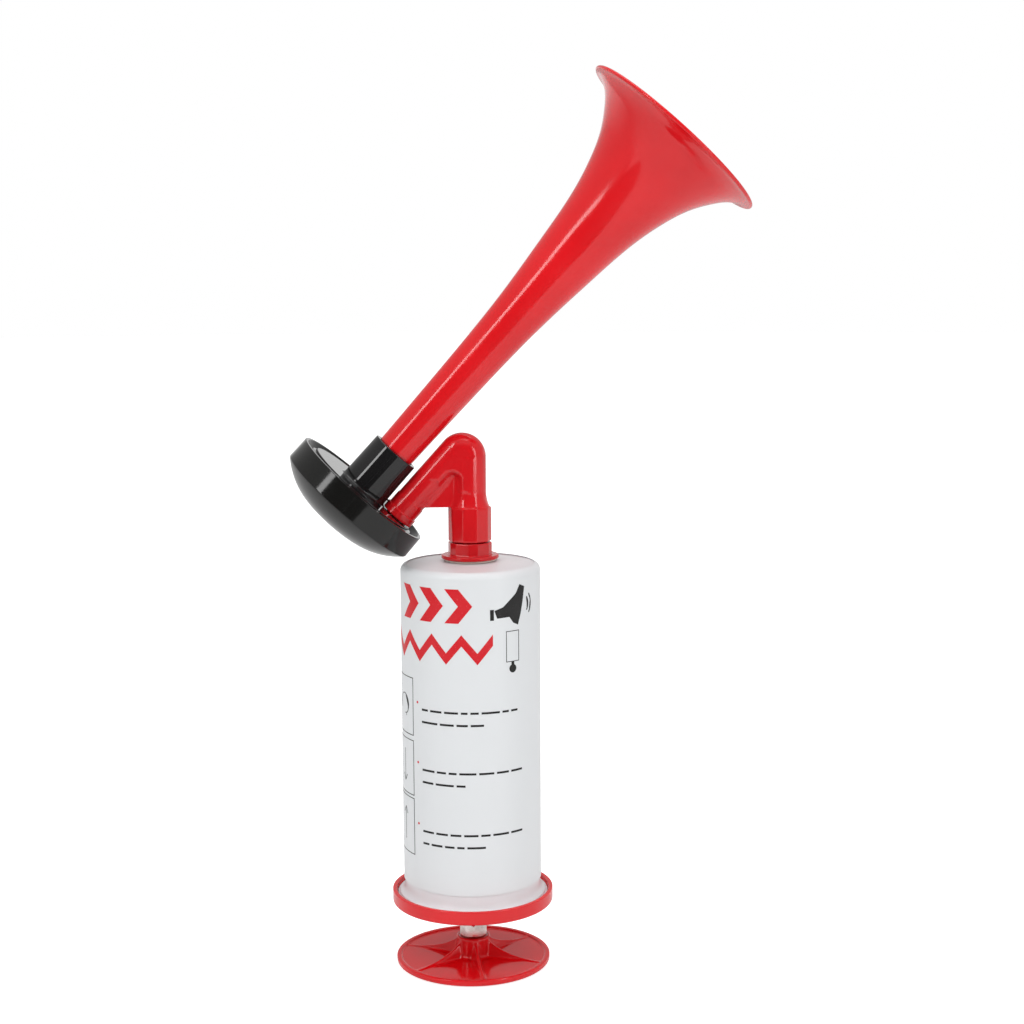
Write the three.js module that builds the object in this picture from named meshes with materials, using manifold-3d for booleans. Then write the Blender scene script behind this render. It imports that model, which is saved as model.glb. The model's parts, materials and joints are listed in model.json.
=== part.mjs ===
// Hand-pump air horn: a piston pump that blows a diaphragm horn.
// Millimetres, +Z up. The origin is the centre of the palm disc's flat underside, on the pump axis.
// The horn leans over in the XZ plane, with its mouth towards +X.
import * as THREE from "three";
import { mergeVertices } from "three/addons/utils/BufferGeometryUtils.js";
import Module from "manifold-3d";

const wasm = await Module();
wasm.setup();

// ---- Driving dimensions ----

const GAP = 0.3; // between two pieces that touch
const CLEARANCE = 0.4; // between a spigot and its hole
const CHAMFER = 0.3; // on moulded edges
const OVERRUN = 1; // how far a cutting tool runs out past its piece, or a joined piece sinks in
const BIG = 44; // sides of the barrel and its base
const MEDIUM = 32; // sides of the discs, chamber and horn
const STEM = 24; // sides of the necks and pipes
const SMALL = 20; // sides of rods and washers
const TURN = 2 * Math.PI;

const PALM = { radius: 28, floor: 1.7, lipTop: 2.3, lipWidth: 1.8, lipSlope: 0.6, rounding: 1.2 };
const HUB = { radius: 6.4, top: 9.2, boreFloor: 2.2, footWidth: 0.8, footHeight: 1.5 };
const PALM_RIBS = { count: 6, thickness: 1.8, firstAngle: -82.5, hubHeight: 8.2, sag: 4, bottom: 0.5 };
const ROD = { radius: 2.95, bottom: 2.6, top: 138.6 };
const NUT = { acrossFlats: 9.7, height: 5, bore: 3.25 };
const SLIP = 3.25; // bore radius of what the rod passes through

const BASE = { radius: 29.2, wall: 1.5, bottom: 22.8, top: 27.8, floor: 2.2, rounding: 1 };
const VENTS = { count: 4, radius: 1.6, circle: 17, sides: 12 };
const BUSH = { sleeve: 5, flange: 8, bottom: 21.8, height: 1.7, bore: 3.15 };
const BUMPER = { radius: 7.5, height: 3.2 };

const BARREL = { radius: 24.6, bore: 23, footRadius: 27.3, footTop: 28, flareTop: 31.5, footWall: 1.7 };
const BARREL_TAPER = { top: 30, bottom: 27.5 }; // where the bore widens into the foot
const CROWN = { edge: 147.2, centre: 148.2, under: 145.6, shoulder: 2.2 };
const SLEEVE = { gap: 0.15, thickness: 0.25, bottom: 32.2, top: 144.6 };

const PISTON = { radius: 21.5, height: 5.7, bottom: 121.5 };
const CUP = { radius: 22.6, base: 3, lip: 1.8, height: 8, heelWidth: 0.8, heelHeight: 2 };
const WASHER = { height: 1.5, upper: 14, lower: 9 };
// The return spring, squeezed almost shut above the piston while the handle is locked in.
const SPRING = { radius: 12.6, wire: 0.55, turns: 9, stepsPerTurn: 16, wireSides: 6 };

const NECK = { flange: 10.3, flangeBottom: 149.15, flangeTop: 150.5, bore: 2.6 };
const NECK_SPIGOT = { radius: 5.4, bottom: 140.4 };
const NECK_GASKET = { thickness: 0.55, inset: 1 };
const SPANNER_COLLAR = { radius: 7.9, top: 155, narrowFacet: 22.6, firstAngle: -82 };
const BACKNUT = { acrossFlats: 17, height: 4 };

const NECK_THREAD = { root: 4.7, crest: 5.7, pitch: 3, start: 156.2, turns: 2.5, top: 164.3 };
const SOCKET_THREAD = { root: 6.1, crest: 5.15, turns: 2 };
const CAP_THREAD = { root: 22.9, crest: 24, pitch: 3, start: -60.8, turns: 1.5 };
const CAP_INNER_THREAD = { root: 24.5, crest: 23.45, turns: 1.25 };
const RIDGE = { rootWidth: 1.3, crestWidth: 0.5, sink: 0.4, runOut: 0.08, stepsPerTurn: 24 };

const COLLAR = { radius: 7.75, sides: 10, bottom: 155.4, top: 167.6, socketTop: 166 };
const SOCKET_SEAL = { inner: 3.4, outer: 4.9 };
const PIPE = { radius: 5.9, bore: 3.9, flareTop: 173, flareRadius: 7.1, flareWaist: 6.3 };
const LEG = { radius: 5.4, bore: 3.5, offset: 15.5, bottom: -54.9, flangeTop: -53, collarTop: -48.7 };
const LEG_END = { flange: 5.8, collar: 5.65, spigot: 4.3, spigotBottom: -57 };
const BEND_RADIUS = 8.5; // outside radius of the elbow's bend, seen from the side
const PASSAGE_OVERRUN = 2.7; // how far each air passage runs on past the bend, to meet the other
const WEB = { thickness: 4, bottom: 168.4, reach: 20.5, tuck: 1, corner: 3 };

// Along the horn axis, distances run from where that axis crosses the pump axis, positive to the mouth.
const HORN = { tilt: 47.96, crossing: 216.2 };
const CHAMBER = { front: -55.2, floor: 2.2, seat: -61.6, inner: 20, throat: 7.2, throatBore: 5.2 };
const SOCKET = { radius: 9, bore: 7.15, front: -38.6, depth: -52.4, draft: 0.2 };
const DIAPHRAGM = { radius: 22, thickness: 0.6 };
const CLAMP = { inner: 18, thickness: 1.6 };
const CAP = { frontRadius: 26.9, backRadius: 27.1, front: -56, back: -64.4, wall: 1.9 };
const CAP_SEAT = { depth: 1.8, taper: 0.6, mouth: 0.5 };
// The power shapes the dome: 2 is a parabola, and larger is flatter with a rounder edge.
const DOME = { height: 8.5, power: 3.15, steps: 8 };
const BELL = { plug: 6.8, plugBack: -52, wall: 1.6, front: 108.4, rim: 36.3, steps: 11 };
const BELL_LIP = { depth: 1.4, width: 1.5 };
// The trumpet's outside, as distance along the axis and radius.
const BELL_OUTLINE = [
  [-38.3, 7.05],
  [0, 7.95],
  [28, 9.25],
  [52, 11.6],
  [72, 14.3],
  [84, 17.4],
  [93, 21],
  [100, 25.5],
  [104.5, 29.6],
  [107, 34],
];

// ---- Finishes ----

const RED = { color: 0xd5222a, roughness: 0.32, metalness: 0 };
const DARK_RED = { color: 0xa9131b, roughness: 0.4, metalness: 0 };
const WHITE = { color: 0xe6e6e8, roughness: 0.35, metalness: 0 };
const FILM = { color: 0xeeeeef, roughness: 0.25, metalness: 0 };
const BLACK = { color: 0x222122, roughness: 0.35, metalness: 0 };
const RUBBER = { color: 0x1a1a1a, roughness: 0.8, metalness: 0 };
const NYLON = { color: 0xd9d6cc, roughness: 0.5, metalness: 0 };
const STEEL = { color: 0xc9c6c2, roughness: 0.3, metalness: 1 };
const POLYESTER = { color: 0xc8b48a, roughness: 0.4, metalness: 0 };

// ---- Solids ----

// A round piece about Z from its closed outline of [radius, z] points.
function turned(outline, segments) {
  const points = outline.map(([radius, z]) => new THREE.Vector2(radius, z));
  if (outline[0][0] > 0) points.push(points[0].clone());
  if (THREE.ShapeUtils.area(points) < 0) points.reverse();
  return new THREE.LatheGeometry(points, segments).rotateX(Math.PI / 2);
}

// A plain rod or disc about Z.
function rod(radius, bottom, top, segments = SMALL) {
  const height = top - bottom;
  const geometry = new THREE.CylinderGeometry(radius, radius, height, segments);
  return geometry.rotateX(Math.PI / 2).translate(0, 0, bottom + height / 2);
}

// A washer or tube about Z.
function ring(inner, outer, bottom, top, segments = SMALL) {
  const outline = [
    [inner, bottom],
    [outer, bottom],
    [outer, top],
    [inner, top],
  ];
  return turned(outline, segments);
}

// A six-sided prism about Z, with a corner towards -Y.
function hexagon(acrossFlats, bottom, top) {
  return rod(acrossFlats / Math.sqrt(3), bottom, top, 6);
}

// A flat plate in the XZ plane, centred on Y = 0, from [x, z] corners.
function plate(corners, thickness) {
  const shape = new THREE.Shape(corners.map(([x, z]) => new THREE.Vector2(x, z)));
  const geometry = new THREE.ExtrudeGeometry(shape, { depth: thickness, bevelEnabled: false });
  return geometry.rotateX(Math.PI / 2).translate(0, thickness / 2, 0);
}

// One helical thread ridge, which sinks into its wall at both ends.
// A ridge whose crest is wider than its root wall stands outwards, and the other way round inwards.
function threadRidge(wall, crest, pitch, start, turns, startAngle) {
  const outwards = crest > wall;
  const steps = Math.round(turns * RIDGE.stepsPerTurn);
  const geometry = new THREE.BoxGeometry(1, 1, 1, 1, steps, 1);
  const position = geometry.getAttribute("position");
  const foot = outwards ? wall - RIDGE.sink : wall + RIDGE.sink;
  for (let i = 0; i < position.count; i += 1) {
    const along = position.getY(i) + 0.5;
    const atCrest = position.getX(i) > 0 === outwards;
    const rise = Math.min(1, along / RIDGE.runOut, (1 - along) / RIDGE.runOut);
    const radius = atCrest ? THREE.MathUtils.lerp((foot + wall) / 2, crest, rise) : foot;
    const width = atCrest ? RIDGE.crestWidth : RIDGE.rootWidth;
    const angle = startAngle + along * turns * TURN;
    const z = start + along * turns * pitch + position.getZ(i) * width;
    position.setXYZ(i, radius * Math.cos(angle), radius * Math.sin(angle), z);
  }
  return geometry;
}

// A coil spring about Z: a round wire wound up from bottom to top.
function coilSpring(radius, wire, bottom, top, turns) {
  const steps = turns * SPRING.stepsPerTurn;
  const geometry = new THREE.CylinderGeometry(wire, wire, 1, SPRING.wireSides, steps);
  const position = geometry.getAttribute("position");
  for (let i = 0; i < position.count; i += 1) {
    const along = position.getY(i) + 0.5;
    const angle = along * turns * TURN;
    const reach = radius + position.getX(i);
    const z = THREE.MathUtils.lerp(bottom + wire, top - wire, along) + position.getZ(i);
    position.setXYZ(i, reach * Math.cos(angle), reach * Math.sin(angle), z);
  }
  return geometry;
}

// A closed three.js geometry as a solid that can be joined and cut.
function solid(geometry) {
  const bare = geometry.index ? geometry.toNonIndexed() : geometry.clone();
  bare.deleteAttribute("normal");
  bare.deleteAttribute("uv");
  const merged = mergeVertices(bare, 1e-4);
  const vertProperties = new Float32Array(merged.getAttribute("position").array);
  const triVerts = new Uint32Array(merged.index.array);
  return new wasm.Manifold(new wasm.Mesh({ numProp: 3, vertProperties, triVerts }));
}

function joined(...geometries) {
  return geometries.map(solid).reduce((whole, part) => whole.add(part));
}

function geometryOf(body) {
  const mesh = body.getMesh();
  const geometry = new THREE.BufferGeometry();
  geometry.setAttribute("position", new THREE.BufferAttribute(mesh.vertProperties, 3));
  geometry.setIndex(new THREE.BufferAttribute(mesh.triVerts, 1));
  geometry.computeVertexNormals();
  return geometry;
}

// The first geometry with the others cut out of it.
function cut(geometry, ...tools) {
  return geometryOf(tools.map(solid).reduce((body, tool) => body.subtract(tool), solid(geometry)));
}

function piece(name, geometry, finish) {
  const mesh = new THREE.Mesh(geometry, new THREE.MeshStandardMaterial(finish));
  mesh.name = name;
  return mesh;
}

function nut(name, bottom, acrossFlats = NUT.acrossFlats, height = NUT.height, bore = NUT.bore) {
  const body = hexagon(acrossFlats, bottom, bottom + height);
  return piece(name, cut(body, rod(bore, bottom - OVERRUN, bottom + height + OVERRUN)), STEEL);
}

// ---- Handle: palm disc, rod and nuts ----

function palmDisc() {
  const lipInside = PALM.radius - PALM.lipWidth;
  const dish = [
    [0, 0],
    [PALM.radius - PALM.rounding, 0],
    [PALM.radius - PALM.rounding * 0.3, PALM.rounding * 0.3],
    [PALM.radius, PALM.rounding],
    [PALM.radius, PALM.lipTop - CHAMFER],
    [PALM.radius - CHAMFER, PALM.lipTop],
    [lipInside, PALM.lipTop],
    [lipInside - PALM.lipSlope, PALM.floor],
    [HUB.radius + HUB.footWidth, PALM.floor],
    [HUB.radius, PALM.floor + HUB.footHeight],
    [HUB.radius - CHAMFER, HUB.top],
    [0, HUB.top],
  ];
  const ribInner = HUB.radius - OVERRUN;
  const ribOuter = lipInside + PALM.lipWidth / 4;
  const swoop = new THREE.QuadraticBezierCurve(
    new THREE.Vector2(ribInner, PALM_RIBS.hubHeight),
    new THREE.Vector2(HUB.radius + PALM_RIBS.sag, PALM.lipTop + CHAMFER),
    new THREE.Vector2(ribOuter, PALM.lipTop - CHAMFER / 3),
  );
  const ribOutline = [
    [ribOuter, PALM_RIBS.bottom],
    [ribInner, PALM_RIBS.bottom],
  ];
  for (const point of swoop.getPoints(6)) ribOutline.push([point.x, point.y]);
  const ribs = [];
  for (let i = 0; i < PALM_RIBS.count; i += 1) {
    const angle = PALM_RIBS.firstAngle + (i * 360) / PALM_RIBS.count;
    ribs.push(plate(ribOutline, PALM_RIBS.thickness).rotateZ(THREE.MathUtils.degToRad(angle)));
  }
  const body = joined(turned(dish, MEDIUM), ...ribs);
  const bore = solid(rod(SLIP, HUB.boreFloor, HUB.top + OVERRUN));
  return piece("handle_disc", geometryOf(body.subtract(bore)), DARK_RED);
}

function handlePieces() {
  const lowerNutBottom = PISTON.bottom - GAP - WASHER.height - GAP - NUT.height;
  const upperNutBottom = PISTON.bottom + PISTON.height + CUP.base + WASHER.height + 3 * GAP;
  return [
    palmDisc(),
    piece("piston_rod", rod(ROD.radius, ROD.bottom, ROD.top), STEEL),
    nut("handle_nut", HUB.top + GAP),
    nut("piston_nut_lower", lowerNutBottom),
    nut("piston_nut_upper", upperNutBottom),
  ];
}

// ---- Piston: disc, cup seal and washers, which slide without turning ----

function pistonPieces() {
  const discTop = PISTON.bottom + PISTON.height;
  const cupBottom = discTop + GAP;
  const cupTop = cupBottom + CUP.height;
  const cup = [
    [SLIP, cupBottom],
    [CUP.radius - CUP.heelWidth, cupBottom],
    [CUP.radius, cupBottom + CUP.heelHeight],
    [CUP.radius, cupTop],
    [CUP.radius - CUP.lip / 2, cupTop],
    [CUP.radius - CUP.lip, cupBottom + CUP.base],
    [SLIP, cupBottom + CUP.base],
  ];
  const upperBottom = cupBottom + CUP.base + GAP;
  const lowerTop = PISTON.bottom - GAP;
  return [
    piece("piston", ring(SLIP, PISTON.radius, PISTON.bottom, discTop, MEDIUM), NYLON),
    piece("cup_seal", turned(cup, MEDIUM), RUBBER),
    piece("seal_retainer", ring(SLIP, WASHER.upper, upperBottom, upperBottom + WASHER.height), STEEL),
    piece("piston_washer", ring(SLIP, WASHER.lower, lowerTop - WASHER.height, lowerTop), STEEL),
  ];
}

// ---- Pump: barrel, label, base and outlet neck ----

function barrel() {
  const { edge, centre, under, shoulder } = CROWN;
  const flare = new THREE.QuadraticBezierCurve(
    new THREE.Vector2(BARREL.footRadius, BARREL.footTop),
    new THREE.Vector2(BARREL.radius, BARREL.footTop),
    new THREE.Vector2(BARREL.radius, BARREL.flareTop),
  );
  const footBottom = BASE.bottom + BASE.floor + GAP;
  const outside = [[BARREL.footRadius, footBottom]];
  for (const point of flare.getPoints(4)) outside.push([point.x, point.y]);
  for (let i = 0; i <= 3; i += 1) {
    const angle = (i * Math.PI) / 6;
    const radius = BARREL.radius - shoulder * (1 - Math.cos(angle));
    outside.push([radius, edge - shoulder * (1 - Math.sin(angle))]);
  }
  const holeRadius = NECK_SPIGOT.radius + CLEARANCE;
  const footBore = BARREL.footRadius - BARREL.footWall;
  const inside = [
    [NECK.flange, centre],
    [holeRadius, centre],
    [holeRadius, under],
    [BARREL.bore - 1, under],
    [BARREL.bore, under - 1],
    [BARREL.bore, BARREL_TAPER.top],
    [footBore, BARREL_TAPER.bottom],
    [footBore, footBottom],
  ];
  return piece("pump_cylinder", turned([...outside, ...inside], BIG), WHITE);
}

function labelSleeve() {
  const inner = BARREL.radius + SLEEVE.gap;
  const tube = ring(inner, inner + SLEEVE.thickness, SLEEVE.bottom, SLEEVE.top, BIG);
  return piece("label_sleeve", tube, FILM);
}

function baseCap() {
  const ringInside = BASE.radius - BASE.wall;
  const floorTop = BASE.bottom + BASE.floor;
  const outline = [
    [BUSH.sleeve + GAP, BASE.bottom],
    [BASE.radius - BASE.rounding, BASE.bottom],
    [BASE.radius - BASE.rounding * 0.3, BASE.bottom + BASE.rounding * 0.3],
    [BASE.radius, BASE.bottom + BASE.rounding],
    [BASE.radius, BASE.top - CHAMFER],
    [BASE.radius - CHAMFER, BASE.top],
    [ringInside, BASE.top],
    [ringInside, floorTop],
    [BUSH.sleeve + GAP, floorTop],
  ];
  const vents = [];
  for (let i = 0; i < VENTS.count; i += 1) {
    const hole = rod(VENTS.radius, BASE.bottom - OVERRUN, floorTop + OVERRUN, VENTS.sides);
    vents.push(hole.translate(VENTS.circle, 0, 0).rotateZ((i + 0.5) * (TURN / VENTS.count)));
  }
  return piece("base_cap", cut(turned(outline, BIG), ...vents), RED);
}

function rodBush() {
  const shoulder = BASE.bottom + BASE.floor + GAP;
  const outline = [
    [BUSH.bore, BUSH.bottom],
    [BUSH.sleeve, BUSH.bottom],
    [BUSH.sleeve, shoulder],
    [BUSH.flange, shoulder],
    [BUSH.flange, shoulder + BUSH.height],
    [BUSH.bore, shoulder + BUSH.height],
  ];
  return piece("rod_bush", turned(outline, SMALL), NYLON);
}

function stopBumper() {
  const bottom = BASE.bottom + BASE.floor + GAP + BUSH.height + GAP;
  const tube = ring(SLIP + GAP, BUMPER.radius, bottom, bottom + BUMPER.height);
  return piece("stop_bumper", tube, RUBBER);
}

// Spanner collar: six wide flats with a narrow facet at each corner.
function spannerCollar() {
  const corners = [];
  for (let i = 0; i < 6; i += 1) {
    const middle = SPANNER_COLLAR.firstAngle + i * 60;
    for (const side of [-0.5, 0.5]) {
      const angle = THREE.MathUtils.degToRad(middle + side * SPANNER_COLLAR.narrowFacet);
      const { radius } = SPANNER_COLLAR;
      corners.push(new THREE.Vector2(radius * Math.cos(angle), radius * Math.sin(angle)));
    }
  }
  const depth = SPANNER_COLLAR.top - NECK.flangeBottom - CHAMFER;
  const prism = new THREE.ExtrudeGeometry(new THREE.Shape(corners), { depth, bevelEnabled: false });
  return prism.translate(0, 0, SPANNER_COLLAR.top - depth);
}

function outletNeck() {
  const stem = [
    [0, NECK_SPIGOT.bottom],
    [NECK_SPIGOT.radius, NECK_SPIGOT.bottom],
    [NECK_SPIGOT.radius, NECK.flangeBottom],
    [NECK.flange, NECK.flangeBottom],
    [NECK.flange, NECK.flangeTop - CHAMFER],
    [NECK.flange - CHAMFER, NECK.flangeTop],
    [NECK_THREAD.root, NECK.flangeTop],
    [NECK_THREAD.root, NECK_THREAD.top],
    [0, NECK_THREAD.top],
  ];
  const { root, crest, pitch, start, turns, top } = NECK_THREAD;
  const ridge = threadRidge(root, crest, pitch, start, turns, 0);
  const body = joined(turned(stem, STEM), spannerCollar(), ridge);
  const bore = solid(rod(NECK.bore, NECK_SPIGOT.bottom - OVERRUN, top + OVERRUN));
  return piece("outlet_neck", geometryOf(body.subtract(bore)), RED);
}

function returnSpring() {
  const washerTop = PISTON.bottom + PISTON.height + CUP.base + WASHER.height + 2 * GAP;
  const { radius, wire, turns } = SPRING;
  const spring = coilSpring(radius, wire, washerTop + GAP, CROWN.under - GAP, turns);
  return piece("return_spring", spring, STEEL);
}

function neckGasket() {
  const top = NECK.flangeBottom - (NECK.flangeBottom - CROWN.centre - NECK_GASKET.thickness) / 2;
  const inner = NECK_SPIGOT.radius + CLEARANCE;
  const outer = NECK.flange - NECK_GASKET.inset;
  return piece("neck_gasket", ring(inner, outer, top - NECK_GASKET.thickness, top, STEM), NYLON);
}

function neckBacknut() {
  const bottom = CROWN.under - GAP - BACKNUT.height;
  const bore = NECK_SPIGOT.radius + GAP;
  return nut("neck_backnut", bottom, BACKNUT.acrossFlats, BACKNUT.height, bore);
}

function pumpPieces() {
  return [
    barrel(),
    labelSleeve(),
    baseCap(),
    rodBush(),
    stopBumper(),
    outletNeck(),
    neckGasket(),
    neckBacknut(),
    returnSpring(),
  ];
}

// ---- Horn head: elbow, chamber, horn and cap ----

const TILT = THREE.MathUtils.degToRad(HORN.tilt);

// Puts a geometry whose Z is the horn axis where the horn is.
function alongHorn(geometry) {
  return geometry.rotateY(Math.PI / 2 - TILT).translate(0, 0, HORN.crossing);
}

// A round bar parallel to the horn axis, on the elbow leg's centre line.
function legRod(radius, bottom, top) {
  return alongHorn(rod(radius, bottom, top, STEM).translate(LEG.offset, 0, 0));
}

// Centre of the bend, tangent to the upright pipe's far side and to the leg's upper side.
const BEND_X = PIPE.radius - BEND_RADIUS;
const BEND_OFFSET = LEG.offset - LEG.radius + BEND_RADIUS;
const BEND_Z = HORN.crossing - (BEND_OFFSET - BEND_X * Math.sin(TILT)) / Math.cos(TILT);
const BEND_ALONG = BEND_X * Math.cos(TILT) + (BEND_Z - HORN.crossing) * Math.sin(TILT);

// The rounded knuckle where the leg turns down into the upright pipe.
function knuckle() {
  const core = BEND_RADIUS - PIPE.radius;
  const points = [new THREE.Vector2(0, -PIPE.radius)];
  for (let i = 0; i <= 8; i += 1) {
    const angle = -Math.PI / 2 + (i * Math.PI) / 8;
    const radius = core + PIPE.radius * Math.cos(angle);
    points.push(new THREE.Vector2(radius, PIPE.radius * Math.sin(angle)));
  }
  points.push(new THREE.Vector2(0, PIPE.radius));
  return new THREE.LatheGeometry(points, MEDIUM).translate(BEND_X, 0, BEND_Z);
}

function elbowPipe() {
  const upright = [
    [0, COLLAR.top - OVERRUN],
    [PIPE.flareRadius, COLLAR.top - OVERRUN],
    [PIPE.flareRadius, COLLAR.top],
    [PIPE.flareWaist, (COLLAR.top + PIPE.flareTop) / 2],
    [PIPE.radius, PIPE.flareTop],
    [PIPE.radius, BEND_Z],
    [0, BEND_Z],
  ];
  const web = [
    [0, WEB.bottom - WEB.tuck],
    [0, BEND_Z],
    [BEND_X, BEND_Z],
    [-WEB.reach, WEB.bottom],
    [-WEB.reach + WEB.corner, WEB.bottom - WEB.tuck],
  ];
  const outside = joined(
    rod(COLLAR.radius, COLLAR.bottom, COLLAR.top, COLLAR.sides),
    turned(upright, STEM),
    knuckle(),
    plate(web, WEB.thickness),
    legRod(LEG.radius, LEG.flangeTop - OVERRUN, BEND_ALONG),
    legRod(LEG_END.collar, LEG.bottom, LEG.collarTop),
    legRod(LEG_END.flange, LEG.bottom, LEG.flangeTop),
    legRod(LEG_END.spigot, LEG_END.spigotBottom, LEG.bottom + OVERRUN),
  );
  const passages = joined(
    rod(SOCKET_THREAD.root, COLLAR.bottom - OVERRUN, COLLAR.socketTop, STEM),
    rod(PIPE.bore, COLLAR.socketTop - OVERRUN, BEND_Z + PASSAGE_OVERRUN),
    legRod(LEG.bore, LEG_END.spigotBottom - OVERRUN, BEND_ALONG + PASSAGE_OVERRUN),
  );
  const { root, crest, turns } = SOCKET_THREAD;
  const ridge = solid(threadRidge(root, crest, NECK_THREAD.pitch, NECK_THREAD.start, turns, Math.PI));
  return piece("elbow_pipe", geometryOf(outside.subtract(passages).add(ridge)), RED);
}

function socketSeal() {
  const { inner, outer } = SOCKET_SEAL;
  const tube = ring(inner, outer, NECK_THREAD.top + CLEARANCE, COLLAR.socketTop - CLEARANCE);
  return piece("socket_seal", tube, RUBBER);
}

function diaphragmHousing() {
  const plateBack = CHAMBER.front - CHAMBER.floor;
  const outline = [
    [CHAMBER.throatBore, CHAMBER.seat],
    [CHAMBER.throatBore, SOCKET.depth],
    [SOCKET.bore, SOCKET.depth],
    [SOCKET.bore, SOCKET.front],
    [SOCKET.radius - SOCKET.draft, SOCKET.front],
    [SOCKET.radius, CHAMBER.front],
    [CAP_THREAD.root - 2 * CHAMFER, CHAMBER.front],
    [CAP_THREAD.root, CHAMBER.front - 2 * CHAMFER],
    [CAP_THREAD.root, CHAMBER.seat],
    [CHAMBER.inner, CHAMBER.seat],
    [CHAMBER.inner, plateBack],
    [CHAMBER.throat, plateBack],
    [CHAMBER.throat, CHAMBER.seat],
  ];
  const { root, crest, pitch, start, turns } = CAP_THREAD;
  const body = joined(turned(outline, MEDIUM), threadRidge(root, crest, pitch, start, turns, 0));
  const inlet = rod(LEG_END.spigot + CLEARANCE, plateBack - OVERRUN, CHAMBER.front + OVERRUN);
  const port = solid(inlet.translate(LEG.offset, 0, 0));
  return piece("diaphragm_housing", geometryOf(body.subtract(port)), BLACK);
}

function hornBell() {
  const points = BELL_OUTLINE.map(([along, radius]) => new THREE.Vector2(radius, along));
  const curve = new THREE.SplineCurve(points);
  const outside = [];
  const inside = [];
  for (let i = 0; i <= BELL.steps; i += 1) {
    const share = i / BELL.steps;
    const point = curve.getPointAt(share);
    const tangent = curve.getTangentAt(share);
    outside.push([point.x, point.y]);
    inside.push([point.x - BELL.wall * tangent.y, point.y + BELL.wall * tangent.x]);
  }
  const rimBack = BELL.front - BELL_LIP.depth;
  const outline = [
    [CHAMBER.throatBore, BELL.plugBack],
    [BELL.plug, BELL.plugBack],
    [BELL.plug, BELL_OUTLINE[0][0]],
    ...outside,
    [BELL.rim - CHAMFER, rimBack],
    [BELL.rim, rimBack + BELL_LIP.depth / 2],
    [BELL.rim - CHAMFER, BELL.front],
    [BELL.rim - BELL_LIP.width, BELL.front],
    ...inside.reverse(),
  ];
  return piece("horn_bell", turned(outline, MEDIUM), RED);
}

// The dome's height behind the cap's back edge at a given radius.
function domeDepth(radius) {
  return DOME.height * (1 - (radius / CAP.backRadius) ** DOME.power);
}

function backCap() {
  const dome = [];
  for (let i = 0; i < DOME.steps; i += 1) {
    const radius = CAP.backRadius * Math.cos((i * Math.PI) / (2 * DOME.steps));
    dome.push([radius, CAP.back - domeDepth(radius)]);
  }
  dome.push([0, CAP.back - DOME.height]);
  const shoulder = CHAMBER.seat - DIAPHRAGM.thickness - CLAMP.thickness - 3 * GAP;
  const seatTop = shoulder + CAP_SEAT.depth;
  const pocket = DIAPHRAGM.radius + CLEARANCE;
  const hollow = [0, CLAMP.inner * 0.6, CLAMP.inner].map((radius) => {
    return [radius, CAP.back - domeDepth(radius) + CAP.wall];
  });
  const outline = [
    ...hollow,
    [CLAMP.inner, shoulder],
    [pocket, shoulder],
    [pocket, seatTop],
    [CAP_INNER_THREAD.root, seatTop + CAP_SEAT.taper],
    [CAP_INNER_THREAD.root, CAP.front - 2 * CAP_SEAT.mouth],
    [CAP_INNER_THREAD.root + CAP_SEAT.mouth, CAP.front],
    [CAP.frontRadius - CHAMFER, CAP.front],
    [CAP.frontRadius, CAP.front - CHAMFER],
    ...dome,
  ];
  const { root, crest, turns } = CAP_INNER_THREAD;
  const ridge = threadRidge(root, crest, CAP_THREAD.pitch, CAP_THREAD.start, turns, Math.PI);
  return piece("back_cap", geometryOf(joined(turned(outline, MEDIUM), ridge)), BLACK);
}

function diaphragmPieces() {
  const diaphragmFront = CHAMBER.seat - GAP;
  const diaphragmBack = diaphragmFront - DIAPHRAGM.thickness;
  const clampFront = diaphragmBack - GAP;
  const clamp = ring(CLAMP.inner, DIAPHRAGM.radius, clampFront - CLAMP.thickness, clampFront, MEDIUM);
  return [
    piece("diaphragm", rod(DIAPHRAGM.radius, diaphragmBack, diaphragmFront, MEDIUM), POLYESTER),
    piece("clamp_ring", clamp, NYLON),
  ];
}

// ---- Assembly ----

const hornAxis = new THREE.Group();
hornAxis.position.z = HORN.crossing;
hornAxis.rotation.y = Math.PI / 2 - TILT;
hornAxis.add(diaphragmHousing(), hornBell(), backCap(), ...diaphragmPieces());

const airHorn = new THREE.Group();
airHorn.add(...handlePieces(), ...pistonPieces(), ...pumpPieces());
airHorn.add(elbowPipe(), socketSeal(), hornAxis);

export default airHorn;
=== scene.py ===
"""Looks of the hand-pump air horn: fine plastic shells, printed label, steel fittings and a white studio.

Lengths in this script are millimetres unless a name says otherwise; meshes are made in metres.
"""

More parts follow.
